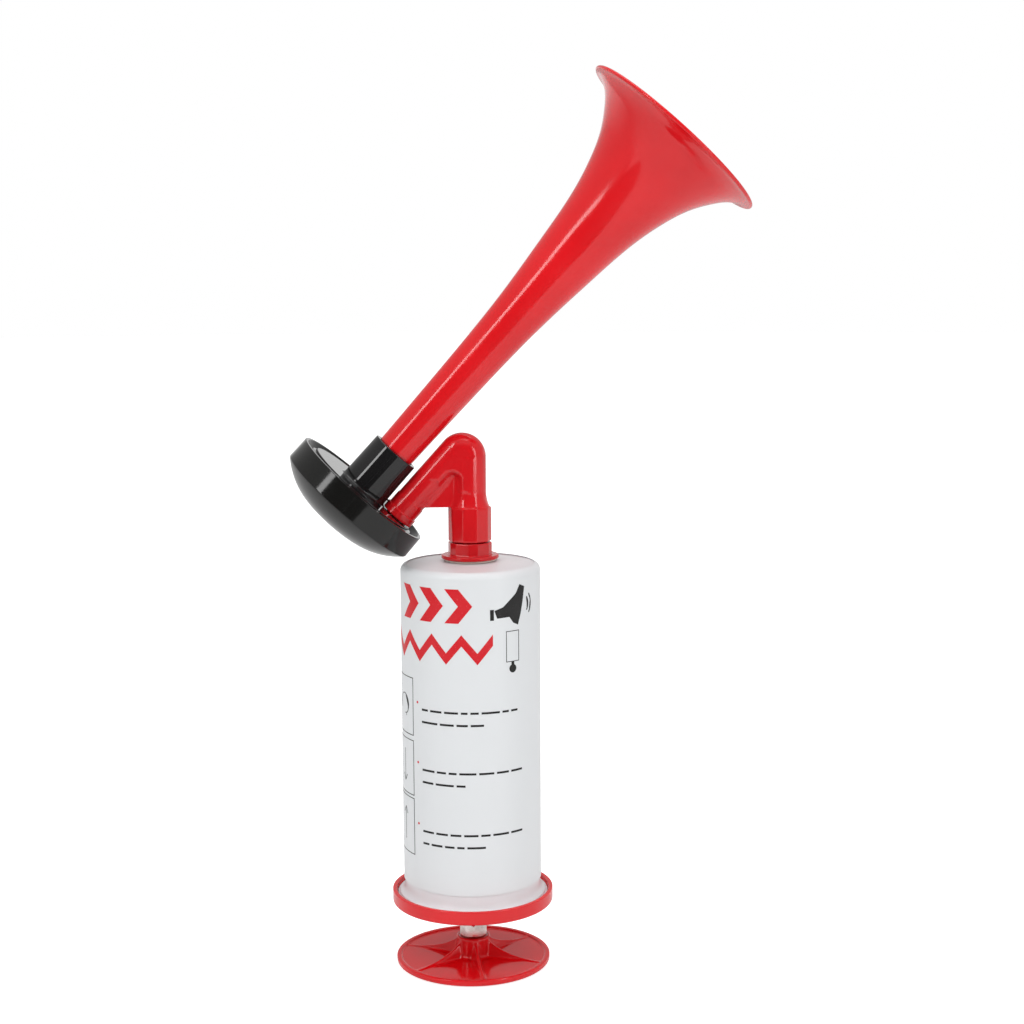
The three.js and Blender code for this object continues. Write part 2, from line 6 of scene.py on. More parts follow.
import json
import math
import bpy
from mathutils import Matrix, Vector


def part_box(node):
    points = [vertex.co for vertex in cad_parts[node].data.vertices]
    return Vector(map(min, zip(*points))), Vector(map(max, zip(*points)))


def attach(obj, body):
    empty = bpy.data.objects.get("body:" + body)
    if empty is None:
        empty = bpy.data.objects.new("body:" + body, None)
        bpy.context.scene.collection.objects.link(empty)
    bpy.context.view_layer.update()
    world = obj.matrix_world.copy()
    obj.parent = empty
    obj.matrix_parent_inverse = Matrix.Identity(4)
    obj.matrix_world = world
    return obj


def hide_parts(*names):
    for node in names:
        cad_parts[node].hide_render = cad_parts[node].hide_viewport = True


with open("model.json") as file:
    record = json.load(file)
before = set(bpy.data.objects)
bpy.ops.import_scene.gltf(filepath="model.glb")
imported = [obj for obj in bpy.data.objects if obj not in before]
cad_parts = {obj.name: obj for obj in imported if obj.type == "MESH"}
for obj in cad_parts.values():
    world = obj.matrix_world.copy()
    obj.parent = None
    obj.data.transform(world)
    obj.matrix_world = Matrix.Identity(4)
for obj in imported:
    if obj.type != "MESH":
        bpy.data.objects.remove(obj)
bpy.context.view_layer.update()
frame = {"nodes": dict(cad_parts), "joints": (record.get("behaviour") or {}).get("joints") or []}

from types import SimpleNamespace as Sizes

import bmesh
import bpy
import numpy as np
from mathutils import Matrix, Vector

MM = 0.001
TURN = 2 * math.pi
FINE = 192  # sides of a large round piece
MEDIUM = 96
SMALL = 64

# ---- Places, read from the frame ----


def extent(node):
    """Lowest and highest corner of a CAD node."""
    low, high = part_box(node)
    return low / MM, high / MM


def joint(name):
    return next(j for j in frame["joints"] if j["name"] == name)


# The horn leans over in the XZ plane. Its axis is the back cap's, and crosses the pump axis.
CAP_AXIS = Vector(joint("cap_unscrew")["axis"]).normalized()
CAP_POINT = Vector(joint("cap_unscrew")["pos_m"]) / MM
TILT = math.atan2(-CAP_AXIS.z, -CAP_AXIS.x)
CROSSING = CAP_POINT.z - CAP_POINT.x * math.tan(TILT)
ALONG_HORN = Matrix.Translation((0, 0, CROSSING)) @ Matrix.Rotation(math.pi / 2 - TILT, 4, "Y")
UPRIGHT = Matrix.Identity(4)


def along_horn(node):
    """Back end, front end and largest radius of a CAD node, about the horn axis."""
    inverse = ALONG_HORN.inverted()
    points = [inverse @ (vertex.co / MM) for vertex in frame["nodes"][node].data.vertices]
    heights = [point.z for point in points]
    return min(heights), max(heights), max(math.hypot(point.x, point.y) for point in points)


PALM_HIGH = extent("handle_disc")[1]
NUT_LOW, NUT_HIGH = extent("handle_nut")
ROD_LOW, ROD_HIGH = extent("piston_rod")
BUSH_LOW, BUSH_HIGH = extent("rod_bush")
BASE_LOW, BASE_HIGH = extent("base_cap")
BARREL_LOW, BARREL_HIGH = extent("pump_cylinder")
SLEEVE_LOW, SLEEVE_HIGH = extent("label_sleeve")
NECK_LOW, NECK_HIGH = extent("outlet_neck")
ELBOW_LOW, ELBOW_HIGH = extent("elbow_pipe")
BELL_BACK, BELL_FRONT, BELL_RIM = along_horn("horn_bell")
HOUSING_BACK, HOUSING_FRONT = along_horn("diaphragm_housing")[:2]
CAP_FRONT, CAP_RADIUS = along_horn("back_cap")[1:]
LEG_BACK = along_horn("elbow_pipe")[0]

# ---- Meshes ----


def built(name, vertices, faces, material, place=UPRIGHT, sharp=40):
    """A mesh object from points in millimetres, smooth but for edges sharper than the angle."""
    mesh = bpy.data.meshes.new(name)
    points = np.asarray(vertices, float)
    turn = np.array(place.to_3x3())
    points = (points @ turn.T + np.array(place.translation)) * MM
    mesh.from_pydata(points.tolist(), [], faces)
    shape = bmesh.new()
    shape.from_mesh(mesh)
    bmesh.ops.recalc_face_normals(shape, faces=shape.faces)
    if shape.calc_volume(signed=True) < 0:
        bmesh.ops.reverse_faces(shape, faces=shape.faces)
    shape.to_mesh(mesh)
    shape.free()
    mesh.shade_smooth()
    mesh.set_sharp_from_angle(angle=math.radians(sharp))
    mesh.materials.append(material)
    piece = bpy.data.objects.new(name, mesh)
    bpy.context.scene.collection.objects.link(piece)
    return piece


def placed(piece, body, slot, *nodes):
    """The piece rides on its body and stands for its CAD nodes; the slot is not used."""
    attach(piece, body)
    if nodes:
        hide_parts(*nodes)
    return piece


def rounded(outline, steps=5):
    """A closed outline of (radius, height, fillet) corners, each fillet drawn as an arc."""
    points = []
    count = len(outline)
    for i, corner in enumerate(outline):
        here = np.array(corner[:2], float)
        fillet = corner[2] if len(corner) > 2 else 0
        if fillet <= 0:
            points.append(tuple(here))
            continue
        back = np.array(outline[i - 1][:2], float) - here
        on = np.array(outline[(i + 1) % count][:2], float) - here
        back_length, on_length = np.linalg.norm(back), np.linalg.norm(on)
        back, on = back / back_length, on / on_length
        half = math.acos(float(np.clip(back @ on, -1, 1))) / 2
        reach = min(fillet / math.tan(half), 0.48 * back_length, 0.48 * on_length)
        radius = reach * math.tan(half)
        middle = (back + on) / np.linalg.norm(back + on)
        centre = here + middle * radius / math.sin(half)
        start, end = here + back * reach - centre, here + on * reach - centre
        first = math.atan2(start[1], start[0])
        sweep = math.atan2(end[1], end[0]) - first
        sweep = (sweep + math.pi) % TURN - math.pi
        hold = min(0.15 * radius, 0.02 * min(back_length, on_length))
        points.append(tuple(here + back * (reach + hold)))
        for k in range(steps + 1):
            angle = first + sweep * k / steps
            points.append(tuple(centre + radius * np.array((math.cos(angle), math.sin(angle)))))
        points.append(tuple(here + on * (reach + hold)))
    return points


def densified(outline, longest, low, high):
    """The outline with extra points on its runs between two heights, so that a swell has room."""
    points = []
    for (r0, z0), (r1, z1) in zip(outline, outline[1:] + outline[:1]):
        points.append((r0, z0))
        middle = (z0 + z1) / 2
        if low <= middle <= high and abs(z1 - z0) > longest:
            pieces = math.ceil(abs(z1 - z0) / longest)
            for k in range(1, pieces):
                points.append((r0 + (r1 - r0) * k / pieces, z0 + (z1 - z0) * k / pieces))
    return points


def spun(name, outline, material, segments=FINE, place=UPRIGHT, swell=None, sharp=40):
    """A round piece about Z from a closed outline of (radius, height) points.

    swell(radius, angle, height) may move each point in or out, for facets and threads.
    """
    angles = np.arange(segments) * TURN / segments
    vertices, rings = [], []
    for radius, height in outline:
        if radius < 1e-6:
            rings.append([len(vertices)])
            vertices.append((0, 0, height))
            continue
        radii = np.full(segments, radius)
        if swell:
            radii = swell(radii, angles, height)
        rings.append(list(range(len(vertices), len(vertices) + segments)))
        vertices += [(r * math.cos(a), r * math.sin(a), height) for r, a in zip(radii, angles)]
    faces = []
    for lower, upper in zip(rings, rings[1:] + rings[:1]):
        if len(lower) == 1 and len(upper) == 1:
            continue
        for k in range(segments):
            n = (k + 1) % segments
            if len(lower) == 1:
                faces.append((lower[0], upper[n], upper[k]))
            elif len(upper) == 1:
                faces.append((lower[k], lower[n], upper[0]))
            else:
                faces.append((lower[k], lower[n], upper[n], upper[k]))
    return built(name, vertices, faces, material, place, sharp)


def smooth_curve(points, count):
    """Points along the natural cubic spline through the given ones."""
    points = np.array(points, float)
    lengths = np.linalg.norm(np.diff(points, axis=0), axis=1)
    t = np.concatenate(([0], np.cumsum(lengths)))
    size = len(points)
    system, right = np.eye(size), np.zeros((size, 2))
    for i in range(1, size - 1):
        system[i, i - 1 : i + 2] = lengths[i - 1], 2 * (lengths[i - 1] + lengths[i]), lengths[i]
        slope_on = (points[i + 1] - points[i]) / lengths[i]
        slope_back = (points[i] - points[i - 1]) / lengths[i - 1]
        right[i] = 6 * (slope_on - slope_back)
    second = np.linalg.solve(system, right)
    s = np.linspace(0, t[-1], count)
    i = np.clip(np.searchsorted(t, s, side="right") - 1, 0, size - 2)
    h = lengths[i][:, None]
    a = (t[i + 1] - s)[:, None] / h
    b = 1 - a
    bend = ((a**3 - a) * second[i] + (b**3 - b) * second[i + 1]) * h**2 / 6
    return a * points[i] + b * points[i + 1] + bend


def ridge_share(angle, height, pitch, start, turns, first_angle, root_width, crest_width):
    """How far a thread ridge stands at each angle of one height, from 0 to 1."""
    share = np.zeros_like(angle)
    phase = (angle - first_angle) / TURN
    for lap in range(-1, math.ceil(turns) + 2):
        travelled = phase + lap
        along = travelled / turns
        offset = np.abs(height - start - travelled * pitch)
        flank = np.clip((root_width / 2 - offset) / ((root_width - crest_width) / 2), 0, 1)
        run = np.clip(np.minimum(along, 1 - along) / RUN_OUT, 0, 1)
        share = np.maximum(share, flank * run)
    return share


def meshed(name, field, low, high, step, material, sharp=60):
    """The closed surface where field(x, y, z) is zero, from a grid of cells, moved onto the surface."""
    axes = [np.arange(a, b + step, step) for a, b in zip(low, high)]
    values = field(*np.meshgrid(*axes, indexing="ij"))
    cells = tuple(n - 1 for n in values.shape)
    total, hits = np.zeros(cells + (3,)), np.zeros(cells)
    index = np.indices(values.shape).transpose(1, 2, 3, 0).astype(float)
    edges = []
    for axis in range(3):
        near = [slice(None)] * 3
        far = [slice(None)] * 3
        near[axis], far[axis] = slice(0, -1), slice(1, None)
        a, b = values[tuple(near)], values[tuple(far)]
        crossed = (a < 0) != (b < 0)
        share = np.where(crossed, a / np.where(crossed, a - b, 1), 0)
        spot = index[tuple(near)].copy()
        spot[..., axis] += share
        others = [k for k in range(3) if k != axis]
        for shift in ((0, 0), (0, 1), (1, 0), (1, 1)):
            window = [slice(None)] * 3
            for other, offset in zip(others, shift):
                window[other] = slice(offset, offset + cells[other])
            window = tuple(window)
            hits += crossed[window]
            total += spot[window] * crossed[window][..., None]
        edges.append((axis, others, crossed, a < 0))
    used = hits > 0
    numbers = np.full(cells, -1)
    numbers[used] = np.arange(int(used.sum()))
    origin = np.array([axis[0] for axis in axes])
    points = origin + step * total[used] / hits[used][:, None]
    faces = []
    for axis, others, crossed, inside_first in edges:
        spots = np.argwhere(crossed)
        spots = spots[np.all(spots[:, others] > 0, axis=1)]
        forward = inside_first[tuple(spots.T)]
        corners = []
        for shift in ((0, 0), (1, 0), (1, 1), (0, 1)):
            cell = spots.copy()
            cell[:, others[0]] -= 1 - shift[0]
            cell[:, others[1]] -= 1 - shift[1]
            corners.append(numbers[tuple(cell.T)])
        quads = np.stack(corners, axis=1)
        flip = forward if axis == 1 else ~forward
        quads[flip] = quads[flip][:, ::-1]
        faces.append(quads)
    for _ in range(5):
        points = points - pull(field, points, 0.02, 0.5 * step)
    return built(name, points, np.concatenate(faces).tolist(), material, sharp=sharp)


def pull(field, points, reach, most):
    """The step that takes each point to the field's surface, no longer than the limit."""
    x, y, z = points.T
    value = field(x, y, z)
    slope = np.stack(
        [
            field(x + reach, y, z) - field(x - reach, y, z),
            field(x, y + reach, z) - field(x, y - reach, z),
            field(x, y, z + reach) - field(x, y, z - reach),
        ],
        axis=1,
    ) / (2 * reach)
    size = np.maximum((slope**2).sum(axis=1), 0.2)
    move = slope * (value / size)[:, None]
    length = np.linalg.norm(move, axis=1)
    return move * np.minimum(1, most / np.maximum(length, 1e-9))[:, None]


# ---- Distance fields, in millimetres, negative inside ----


def disc_field(across, height, radius, low, high, rounding):
    """A round bar or disc: across is the distance from its axis, height the place along it."""
    side = across - (radius - rounding)
    end = np.abs(height - (low + high) / 2) - ((high - low) / 2 - rounding)
    outside = np.hypot(np.maximum(side, 0), np.maximum(end, 0))
    return np.minimum(np.maximum(side, end), 0) + outside - rounding


def joined(a, b, blend):
    """The union of two fields, with a fillet where they meet."""
    share = np.clip(0.5 + 0.5 * (b - a) / blend, 0, 1)
    return b + (a - b) * share - blend * share * (1 - share)


def joined_inside(a, b, blend):
    """The overlap of two fields, with its edge rounded off."""
    return -joined(-a, -b, blend)


def taken(a, b, blend):
    """The first field with the second cut out of it."""
    return -joined(-a, b, blend)


def facets_field(x, y, apothem, sides, first_angle, blend):
    """A prism about Z with rounded corners."""
    total = 0
    for k in range(sides):
        angle = first_angle + k * TURN / sides
        total = total + np.exp((x * math.cos(angle) + y * math.sin(angle) - apothem) / blend)
    return blend * np.log(total)


# ---- Materials ----


def fill(tree, made, inputs):
    """Sets a node's inputs, each from a value or from a socket."""
    for key, value in inputs.items():
        if isinstance(value, bpy.types.NodeSocket):
            tree.links.new(value, made.inputs[key])
        else:
            made.inputs[key].default_value = value


def node(tree, kind, inputs=None, **values):
    made = tree.nodes.new(kind)
    for key, value in values.items():
        setattr(made, key, value)
    fill(tree, made, inputs or {})
    return made


def noise(tree, coordinates, scale, detail=3.0, roughness=0.55, stretch=(1, 1, 1)):
    """The Factor output of a noise texture in object space."""
    mapping = node(tree, "ShaderNodeMapping", {"Scale": stretch, "Vector": coordinates})
    inputs = {"Scale": scale, "Detail": detail, "Roughness": roughness}
    inputs["Vector"] = mapping.outputs["Vector"]
    return node(tree, "ShaderNodeTexNoise", inputs).outputs["Fac"]


def ranged(tree, factor, low, high, start=0.0, end=1.0):
    """A factor between start and end, stretched to low and high."""
    inputs = {"Value": factor, "From Min": start, "From Max": end, "To Min": low, "To Max": high}
    return node(tree, "ShaderNodeMapRange", inputs, clamp=True).outputs["Result"]


def mixed(tree, factor, first, second):
    """A colour between two, each a colour or a socket."""
    ends = [c if isinstance(c, bpy.types.NodeSocket) else (*c, 1) for c in (first, second)]
    inputs = {"Factor": factor, 6: ends[0], 7: ends[1]}
    return node(tree, "ShaderNodeMix", inputs, data_type="RGBA").outputs[2]


def product(tree, first, second):
    """Two factors multiplied."""
    return node(tree, "ShaderNodeMath", {0: first, 1: second}, operation="MULTIPLY").outputs[0]


def bumped(tree, layers):
    """A normal from (height socket, strength, distance in metres) layers."""
    normal = None
    for height, strength, distance in layers:
        inputs = {"Strength": strength, "Distance": distance, "Height": height}
        if normal:
            inputs["Normal"] = normal
        normal = node(tree, "ShaderNodeBump", inputs).outputs["Normal"]
    return normal


def new_material(name):
    material = bpy.data.materials.new(name)
    material.use_nodes = True
    tree = material.node_tree
    shader = tree.nodes["Principled BSDF"]
    place = node(tree, "ShaderNodeTexCoord").outputs["Object"]
    return material, tree, shader, place


def surfaced(tree, shader, colour, roughness, layers):
    """Colour, roughness and bump layers, linked into a shader."""
    normal = bumped(tree, layers)
    fill(tree, shader, {"Base Color": colour, "Roughness": roughness, "Normal": normal})


def moulded(name, colour, deep, worn, gloss, rough, ripple=0.03, ior=1.5):
    """Injection-moulded plastic: pigment that drifts a little, orange peel, fine scuffs and worn edges."""
    material, tree, shader, place = new_material(name)
    drift = ranged(tree, noise(tree, place, 38, 2.0), 0, 1, 0.3, 0.7)
    speck = ranged(tree, noise(tree, place, 900, 2.0), 0, 0.5, 0.55, 0.8)
    base = mixed(tree, drift, colour, deep)
    base = mixed(tree, speck, base, deep)
    edge = node(tree, "ShaderNodeNewGeometry").outputs["Pointiness"]
    rubbed = ranged(tree, edge, 0, 1, 0.53, 0.62)
    patchy = ranged(tree, noise(tree, place, 160, 4.0), 0, 0.55, 0.42, 0.7)
    base = mixed(tree, product(tree, rubbed, patchy), base, worn)
    handled = ranged(tree, noise(tree, place, 55, 5.0, 0.65), gloss, rough, 0.35, 0.75)
    peel = noise(tree, place, 420, 2.0)
    sink = noise(tree, place, 60, 1.0)
    scuff = noise(tree, place, 700, 3.0, 0.6, (1, 1, 0.08))
    layers = [(peel, ripple, 0.0001), (sink, ripple, 0.0006), (scuff, ripple * 0.8, 0.00005)]
    surfaced(tree, shader, base, handled, layers)
    shader.inputs["IOR"].default_value = ior
    return material


def metal(name, colour, shade, gloss, rough, stretch, ripple=0.06):
    """Plated or drawn steel: brushed one way by the stretch, with dull patches."""
    material, tree, shader, place = new_material(name)
    brushing = noise(tree, place, 500, 4.0, 0.6, stretch)
    stain = ranged(tree, noise(tree, place, 240, 4.0, 0.6), 0, 1, 0.38, 0.66)
    base = mixed(tree, stain, colour, shade)
    drawn = ranged(tree, brushing, gloss, rough, 0.3, 0.7)
    surfaced(tree, shader, base, drawn, [(brushing, ripple, 0.00006)])
    shader.inputs["Metallic"].default_value = 1
    return material


def printed(name, colour, faded):
    """Screen-printed ink, thin over the film, with pinholes where it is faded."""
    material, tree, shader, place = new_material(name)
    holes = ranged(tree, noise(tree, place, 1500, 2.0), 0, 1, 0.62, 0.74)
    drift = ranged(tree, noise(tree, place, 90, 3.0), 0, 0.35, 0.35, 0.75)
    base = mixed(tree, drift, colour, faded)
    base = mixed(tree, holes, base, faded)
    dull = ranged(tree, noise(tree, place, 300), 0.3, 0.45)
    surfaced(tree, shader, base, dull, [(noise(tree, place, 900), 0.04, 0.00005)])
    shader.inputs["Specular IOR Level"].default_value = 0.2
    return material


def film(name, colour, shade):
    """Shrink film: glossy, with long shallow ripples drawn along the barrel."""
    material, tree, shader, place = new_material(name)
    drift = ranged(tree, noise(tree, place, 14, 1.0), 0, 1, 0.3, 0.7)
    base = mixed(tree, drift, colour, shade)
    handled = ranged(tree, noise(tree, place, 40, 3.0, 0.5), 0.285, 0.335, 0.35, 0.7)
    drawn = noise(tree, place, 70, 1.0, 0.5, (1, 1, 0.15))
    scuff = noise(tree, place, 900, 3.0, 0.6, (1, 1, 0.06))
    surfaced(tree, shader, base, handled, [(drawn, 0.022, 0.0004), (scuff, 0.02, 0.00004)])
    shader.inputs["IOR"].default_value = 1.5
    return material


def rubber(name):
    material, tree, shader, place = new_material(name)
    dust = ranged(tree, noise(tree, place, 300, 4.0), 0, 0.5, 0.45, 0.8)
    base = mixed(tree, dust, (0.012, 0.012, 0.012), (0.05, 0.05, 0.048))
    dull = ranged(tree, noise(tree, place, 400), 0.55, 0.8)
    surfaced(tree, shader, base, dull, [(noise(tree, place, 1200), 0.15, 0.0001)])
    return material


RED = moulded(
    "red_plastic", (0.78, 0.011, 0.016), (0.70, 0.008, 0.012), (0.80, 0.06, 0.06), 0.10, 0.2
)
# The red plastic again, darker by painted shade, for the elbow and its end ring under the horn and cap.
RED_WITH_ELBOW_PAINTED_SHADE = moulded(
    "red_elbow_painted_shade", (0.68, 0.009, 0.014), (0.62, 0.007, 0.011), (0.76, 0.05, 0.05), 0.09, 0.18
)
# The red plastic again, darker still by painted shade, for the outlet neck in the shade of the elbow, horn
# and cap.
RED_WITH_NECK_PAINTED_SHADE = moulded(
    "red_neck_painted_shade", (0.62, 0.009, 0.014), (0.56, 0.007, 0.011), (0.72, 0.05, 0.05), 0.09, 0.18
)
DARK_RED = moulded(
    "dark_red_plastic", (0.74, 0.005, 0.010), (0.68, 0.004, 0.008), (0.7, 0.04, 0.04), 0.10, 0.20
)
# The white and the film stay above the gloss at which the render's denoiser changes its mind.
WHITE = moulded(
    "white_plastic", (0.80, 0.80, 0.82), (0.76, 0.76, 0.78), (0.85, 0.85, 0.85), 0.285, 0.36, 0.02
)
CHAMBER_BLACK = moulded(
    "chamber_black", (0.012, 0.011, 0.012), (0.009, 0.009, 0.009), (0.04, 0.038, 0.04), 0.04, 0.09,
    ripple=0.004,
)
BLACK = moulded(
    "black_plastic", (0.009, 0.0085, 0.008), (0.007, 0.007, 0.0065), (0.04, 0.038, 0.036), 0.08, 0.16,
    ripple=0.02, ior=1.45,
)
NYLON = moulded("nylon", (0.70, 0.66, 0.58), (0.66, 0.61, 0.52), (0.8, 0.77, 0.7), 0.35, 0.5)
FILM = film("label_film", (0.765, 0.785, 0.80), (0.755, 0.775, 0.79))
POLYESTER = film("polyester_film", (0.58, 0.45, 0.25), (0.5, 0.38, 0.2))
STEEL = metal("steel", (0.62, 0.61, 0.60), (0.46, 0.45, 0.44), 0.14, 0.26, (1, 1, 0.05))
ZINC = metal("zinc_plate", (0.86, 0.84, 0.81), (0.52, 0.50, 0.47), 0.12, 0.26, (1, 1, 1), 0.12)
RUBBER = rubber("seal_rubber")
INK_RED = printed("ink_red", (0.66, 0.012, 0.02), (0.70, 0.06, 0.07))
INK_BLACK = printed("ink_black", (0.018, 0.017, 0.017), (0.05, 0.05, 0.05))

# The inner pieces keep the CAD's own meshes.
HIDDEN_FINISHES = (
    (NYLON, "piston", "neck_gasket", "clamp_ring"),
    (RUBBER, "cup_seal", "stop_bumper", "socket_seal"),
    (STEEL, "seal_retainer", "piston_washer", "return_spring"),
    (ZINC, "piston_nut_lower", "piston_nut_upper", "neck_backnut"),
    (POLYESTER, "diaphragm"),
)
for finish, *hidden in HIDDEN_FINISHES:
    for name in hidden:
        mesh = frame["nodes"][name].data
        mesh.materials.clear()
        mesh.materials.append(finish)

# ---- Threads ----

RUN_OUT = 0.08
RIDGE = {"root_width": 1.3, "crest_width": 0.5}
NECK_THREAD = {"pitch": 3, "start": 156.2, "turns": 2.5, "first_angle": 0}
SOCKET_THREAD = {"pitch": 3, "start": 156.2, "turns": 2, "first_angle": math.pi}
CAP_THREAD = {"pitch": 3, "start": -60.8, "turns": 1.5, "first_angle": 0}
CAP_INNER_THREAD = {"pitch": 3, "start": -60.8, "turns": 1.25, "first_angle": math.pi}
M6_PITCH = 1.0

# ---- Handle ----

PALM = Sizes(
    floor=1.7, lip_width=1.8, bottom_rounding=1.0, hub_radius=6.4, hub_taper=0.3, hub_dish=0.3,
    bore=3.25, bore_floor=2.2, lip_top=2.3,
)
RIB = Sizes(count=6, first_angle=math.radians(-82.5), half_top=0.45, draft=0.24, hub_height=8.2)


NUB = Sizes(angle=math.radians(130), inset=0.35, height=1.5, radius=0.75)  # moulding nub on the rim
CUT_END = 20  # height at which a cut from above ends, clear of everything


def rib_top(along):
    """Height of a rib's swooping top edge at a distance from the pump axis."""
    t = np.linspace(0, 1, 60)
    radius = PALM_HIGH.x
    start = (PALM.hub_radius - 1, RIB.hub_height)
    middle = (PALM.hub_radius + 3.8, PALM.lip_top + 0.5)
    end = (radius - PALM.lip_width - 1.3, PALM.floor)
    reach = [(1 - t) ** 2 * a + 2 * t * (1 - t) * b + t**2 * c for a, b, c in zip(start, middle, end)]
    return np.interp(along, reach[0], reach[1])


def palm_field(x, y, z):
    radius = PALM_HIGH.x
    lip_top = PALM.lip_top
    across = np.hypot(x, y)
    body = disc_field(across, z, radius, 0, lip_top, 0.34)
    # The lower edge is rounded more than the upper one.
    low_edge = disc_field(across, z, radius, 0, lip_top + 3, PALM.bottom_rounding)
    body = np.maximum(body, low_edge)
    dish = disc_field(across, z, radius - PALM.lip_width, PALM.floor, 12, 0.3)
    body = taken(body, dish, 0.5)
    hub_radius = PALM.hub_radius - PALM.hub_taper * np.clip((z - 2) / 7, 0, 1)
    hub = disc_field(across + (PALM.hub_radius - hub_radius), z, PALM.hub_radius, 0.6, PALM_HIGH.z, 0.55)
    body = joined(body, hub, 1.6)
    for k in range(RIB.count):
        angle = RIB.first_angle + k * TURN / RIB.count
        along = x * math.cos(angle) + y * math.sin(angle)
        beside = -x * math.sin(angle) + y * math.cos(angle)
        top = rib_top(along)
        half = RIB.half_top + RIB.draft * np.clip(top - z, 0, 8)
        side = np.abs(beside) - half
        above = (z - top) * 0.8
        rib = joined_inside(side, above, 0.35)
        rib = np.maximum(rib, np.maximum(3 - along, along - radius + 1.2))
        rib = np.maximum(rib, 0.6 - z)
        body = joined(body, rib, 0.7)
    dished = disc_field(across, z, PALM.hub_radius - 1.3, PALM_HIGH.z - PALM.hub_dish, CUT_END, 0.25)
    body = taken(body, dished, 0.25)
    bore = disc_field(across, z, PALM.bore, PALM.bore_floor, CUT_END, 0.2)
    nub_x, nub_y = ((radius - NUB.inset) * turn(NUB.angle) for turn in (math.cos, math.sin))
    nub = np.sqrt((x - nub_x) ** 2 + (y - nub_y) ** 2 + (z - NUB.height) ** 2) - NUB.radius
    return joined(taken(body, bore, 0.15), nub, 0.4)


def handle_pieces():
    radius = PALM_HIGH.x
    disc = meshed(
        "palm_disc",
        palm_field,
        (-radius - 1, -radius - 1, -0.8), (radius + 1, radius + 1, PALM_HIGH.z + 0.8),
        0.3,
        DARK_RED,
    )
    # The grid's surface may dip under the table by a hair.
    for vertex in disc.data.vertices:
        vertex.co.z = max(vertex.co.z, 0)
    placed(disc, "handle", "dark_red_plastic", "handle_disc")
    placed(piston_rod(), "handle", "steel", "piston_rod")
    placed(hex_nut("palm_nut", NUT_LOW, NUT_HIGH, ZINC), "handle", "zinc_plate", "handle_nut")


def piston_rod():
    """Drawn rod with the storage thread just above the palm nut."""
    radius = ROD_HIGH.x
    thread_low, thread_high = NUT_LOW.z - 4, BUSH_HIGH.z - 1
    outline = [
        (0, ROD_LOW.z), (radius - 0.5, ROD_LOW.z), (radius, ROD_LOW.z + 0.5), (radius, thread_low),
        (radius, thread_high), (radius, ROD_HIGH.z - 0.5), (radius - 0.5, ROD_HIGH.z), (0, ROD_HIGH.z),
    ]
    outline = densified(outline, 0.1, thread_low, thread_high)

    def thread(radii, angles, height):
        if not thread_low < height < thread_high:
            return radii
        wave = 0.5 - 0.5 * np.cos(angles - TURN * height / M6_PITCH)
        fade = min(1, (height - thread_low) / 0.8, (thread_high - height) / 0.8)
        return radii - 0.42 * fade * wave

    return spun("piston_rod_bar", outline, STEEL, SMALL, swell=thread)


def hex_nut(name, low, high, material):
    """A hexagon nut with a corner towards -Y, both faces chamfered and its bore threaded."""
    corner = -low.y
    flat = corner * math.cos(math.pi / 6)
    bevel = 0.7
    bore = ROD_HIGH.x + 0.25
    outline = [
        (bore + 0.5, low.z), (flat - 0.1, low.z), (corner, low.z + bevel), (corner, high.z - bevel),
        (flat - 0.1, high.z), (bore + 0.5, high.z), (bore, high.z - 0.5), (bore, low.z + 0.5),
    ]
    outline = densified(outline, 0.12, low.z, high.z)

    def hexagon(radii, angles, height):
        if radii[0] < flat - 0.2:
            wave = 0.5 - 0.5 * np.cos(angles - TURN * height / M6_PITCH)
            return radii + 0.35 * wave * (radii[0] < bore + 0.01)
        facing = (angles + math.pi / 6) % (math.pi / 3) - math.pi / 6
        return np.minimum(radii, flat / np.cos(facing) - 0.04)

    return spun(name, outline, material, 180, swell=hexagon, sharp=25)


# ---- Pump ----

BARREL = Sizes(bore=23.0, radius=24.6, foot_top=27.0, flare_top=30.2, foot_wall=1.7)
CROWN = Sizes(edge=147.2, under=145.6, shoulder=2.2, hole=5.8, seat=10.3)
BASE = Sizes(wall=1.5, floor=2.2, rounding=1.0, vents=4, vent_radius=1.6, vent_circle=17, bead=0.28)
BUSH = Sizes(sleeve=5.0, bore=3.15, height=1.7)


def arc(centre, radius, start, end, steps):
    """Points on an arc, angles in degrees."""
    angles = np.radians(np.linspace(start, end, steps + 1))
    return [(centre[0] + radius * math.cos(a), centre[1] + radius * math.sin(a)) for a in angles]


def barrel():
    foot = BARREL_HIGH.x
    radius, edge, shoulder = BARREL.radius, CROWN.edge, CROWN.shoulder
    foot_bore = foot - BARREL.foot_wall
    low = BARREL_LOW.z
    outline = rounded([(foot_bore, low), (foot, low, 0.3), (foot, BARREL.foot_top, 0.6)], 4)[:-1]
    t = np.linspace(0.18, 1, 14)
    reach = (1 - t) ** 2 * foot + (1 - (1 - t) ** 2) * radius
    rise = (1 - t**2) * BARREL.foot_top + t**2 * BARREL.flare_top
    outline += list(zip(reach, rise))
    outline += arc((radius - shoulder, edge - shoulder), shoulder, 0, 90, 12)
    outline += [
        (CROWN.seat + 0.6, BARREL_HIGH.z - 0.05), (CROWN.seat, BARREL_HIGH.z),
        (CROWN.hole, BARREL_HIGH.z), (CROWN.hole, CROWN.under),
        (BARREL.bore - 1, CROWN.under), (BARREL.bore, CROWN.under - 1),
        (BARREL.bore, BARREL.foot_top + 2), (foot_bore, BARREL.foot_top - 0.5),
    ]
    return spun("barrel_shell", outline, WHITE)


PUCKERS = Sizes(count=26, seed=7, start=0.3, rise=3, seam_angle=math.radians(-152))


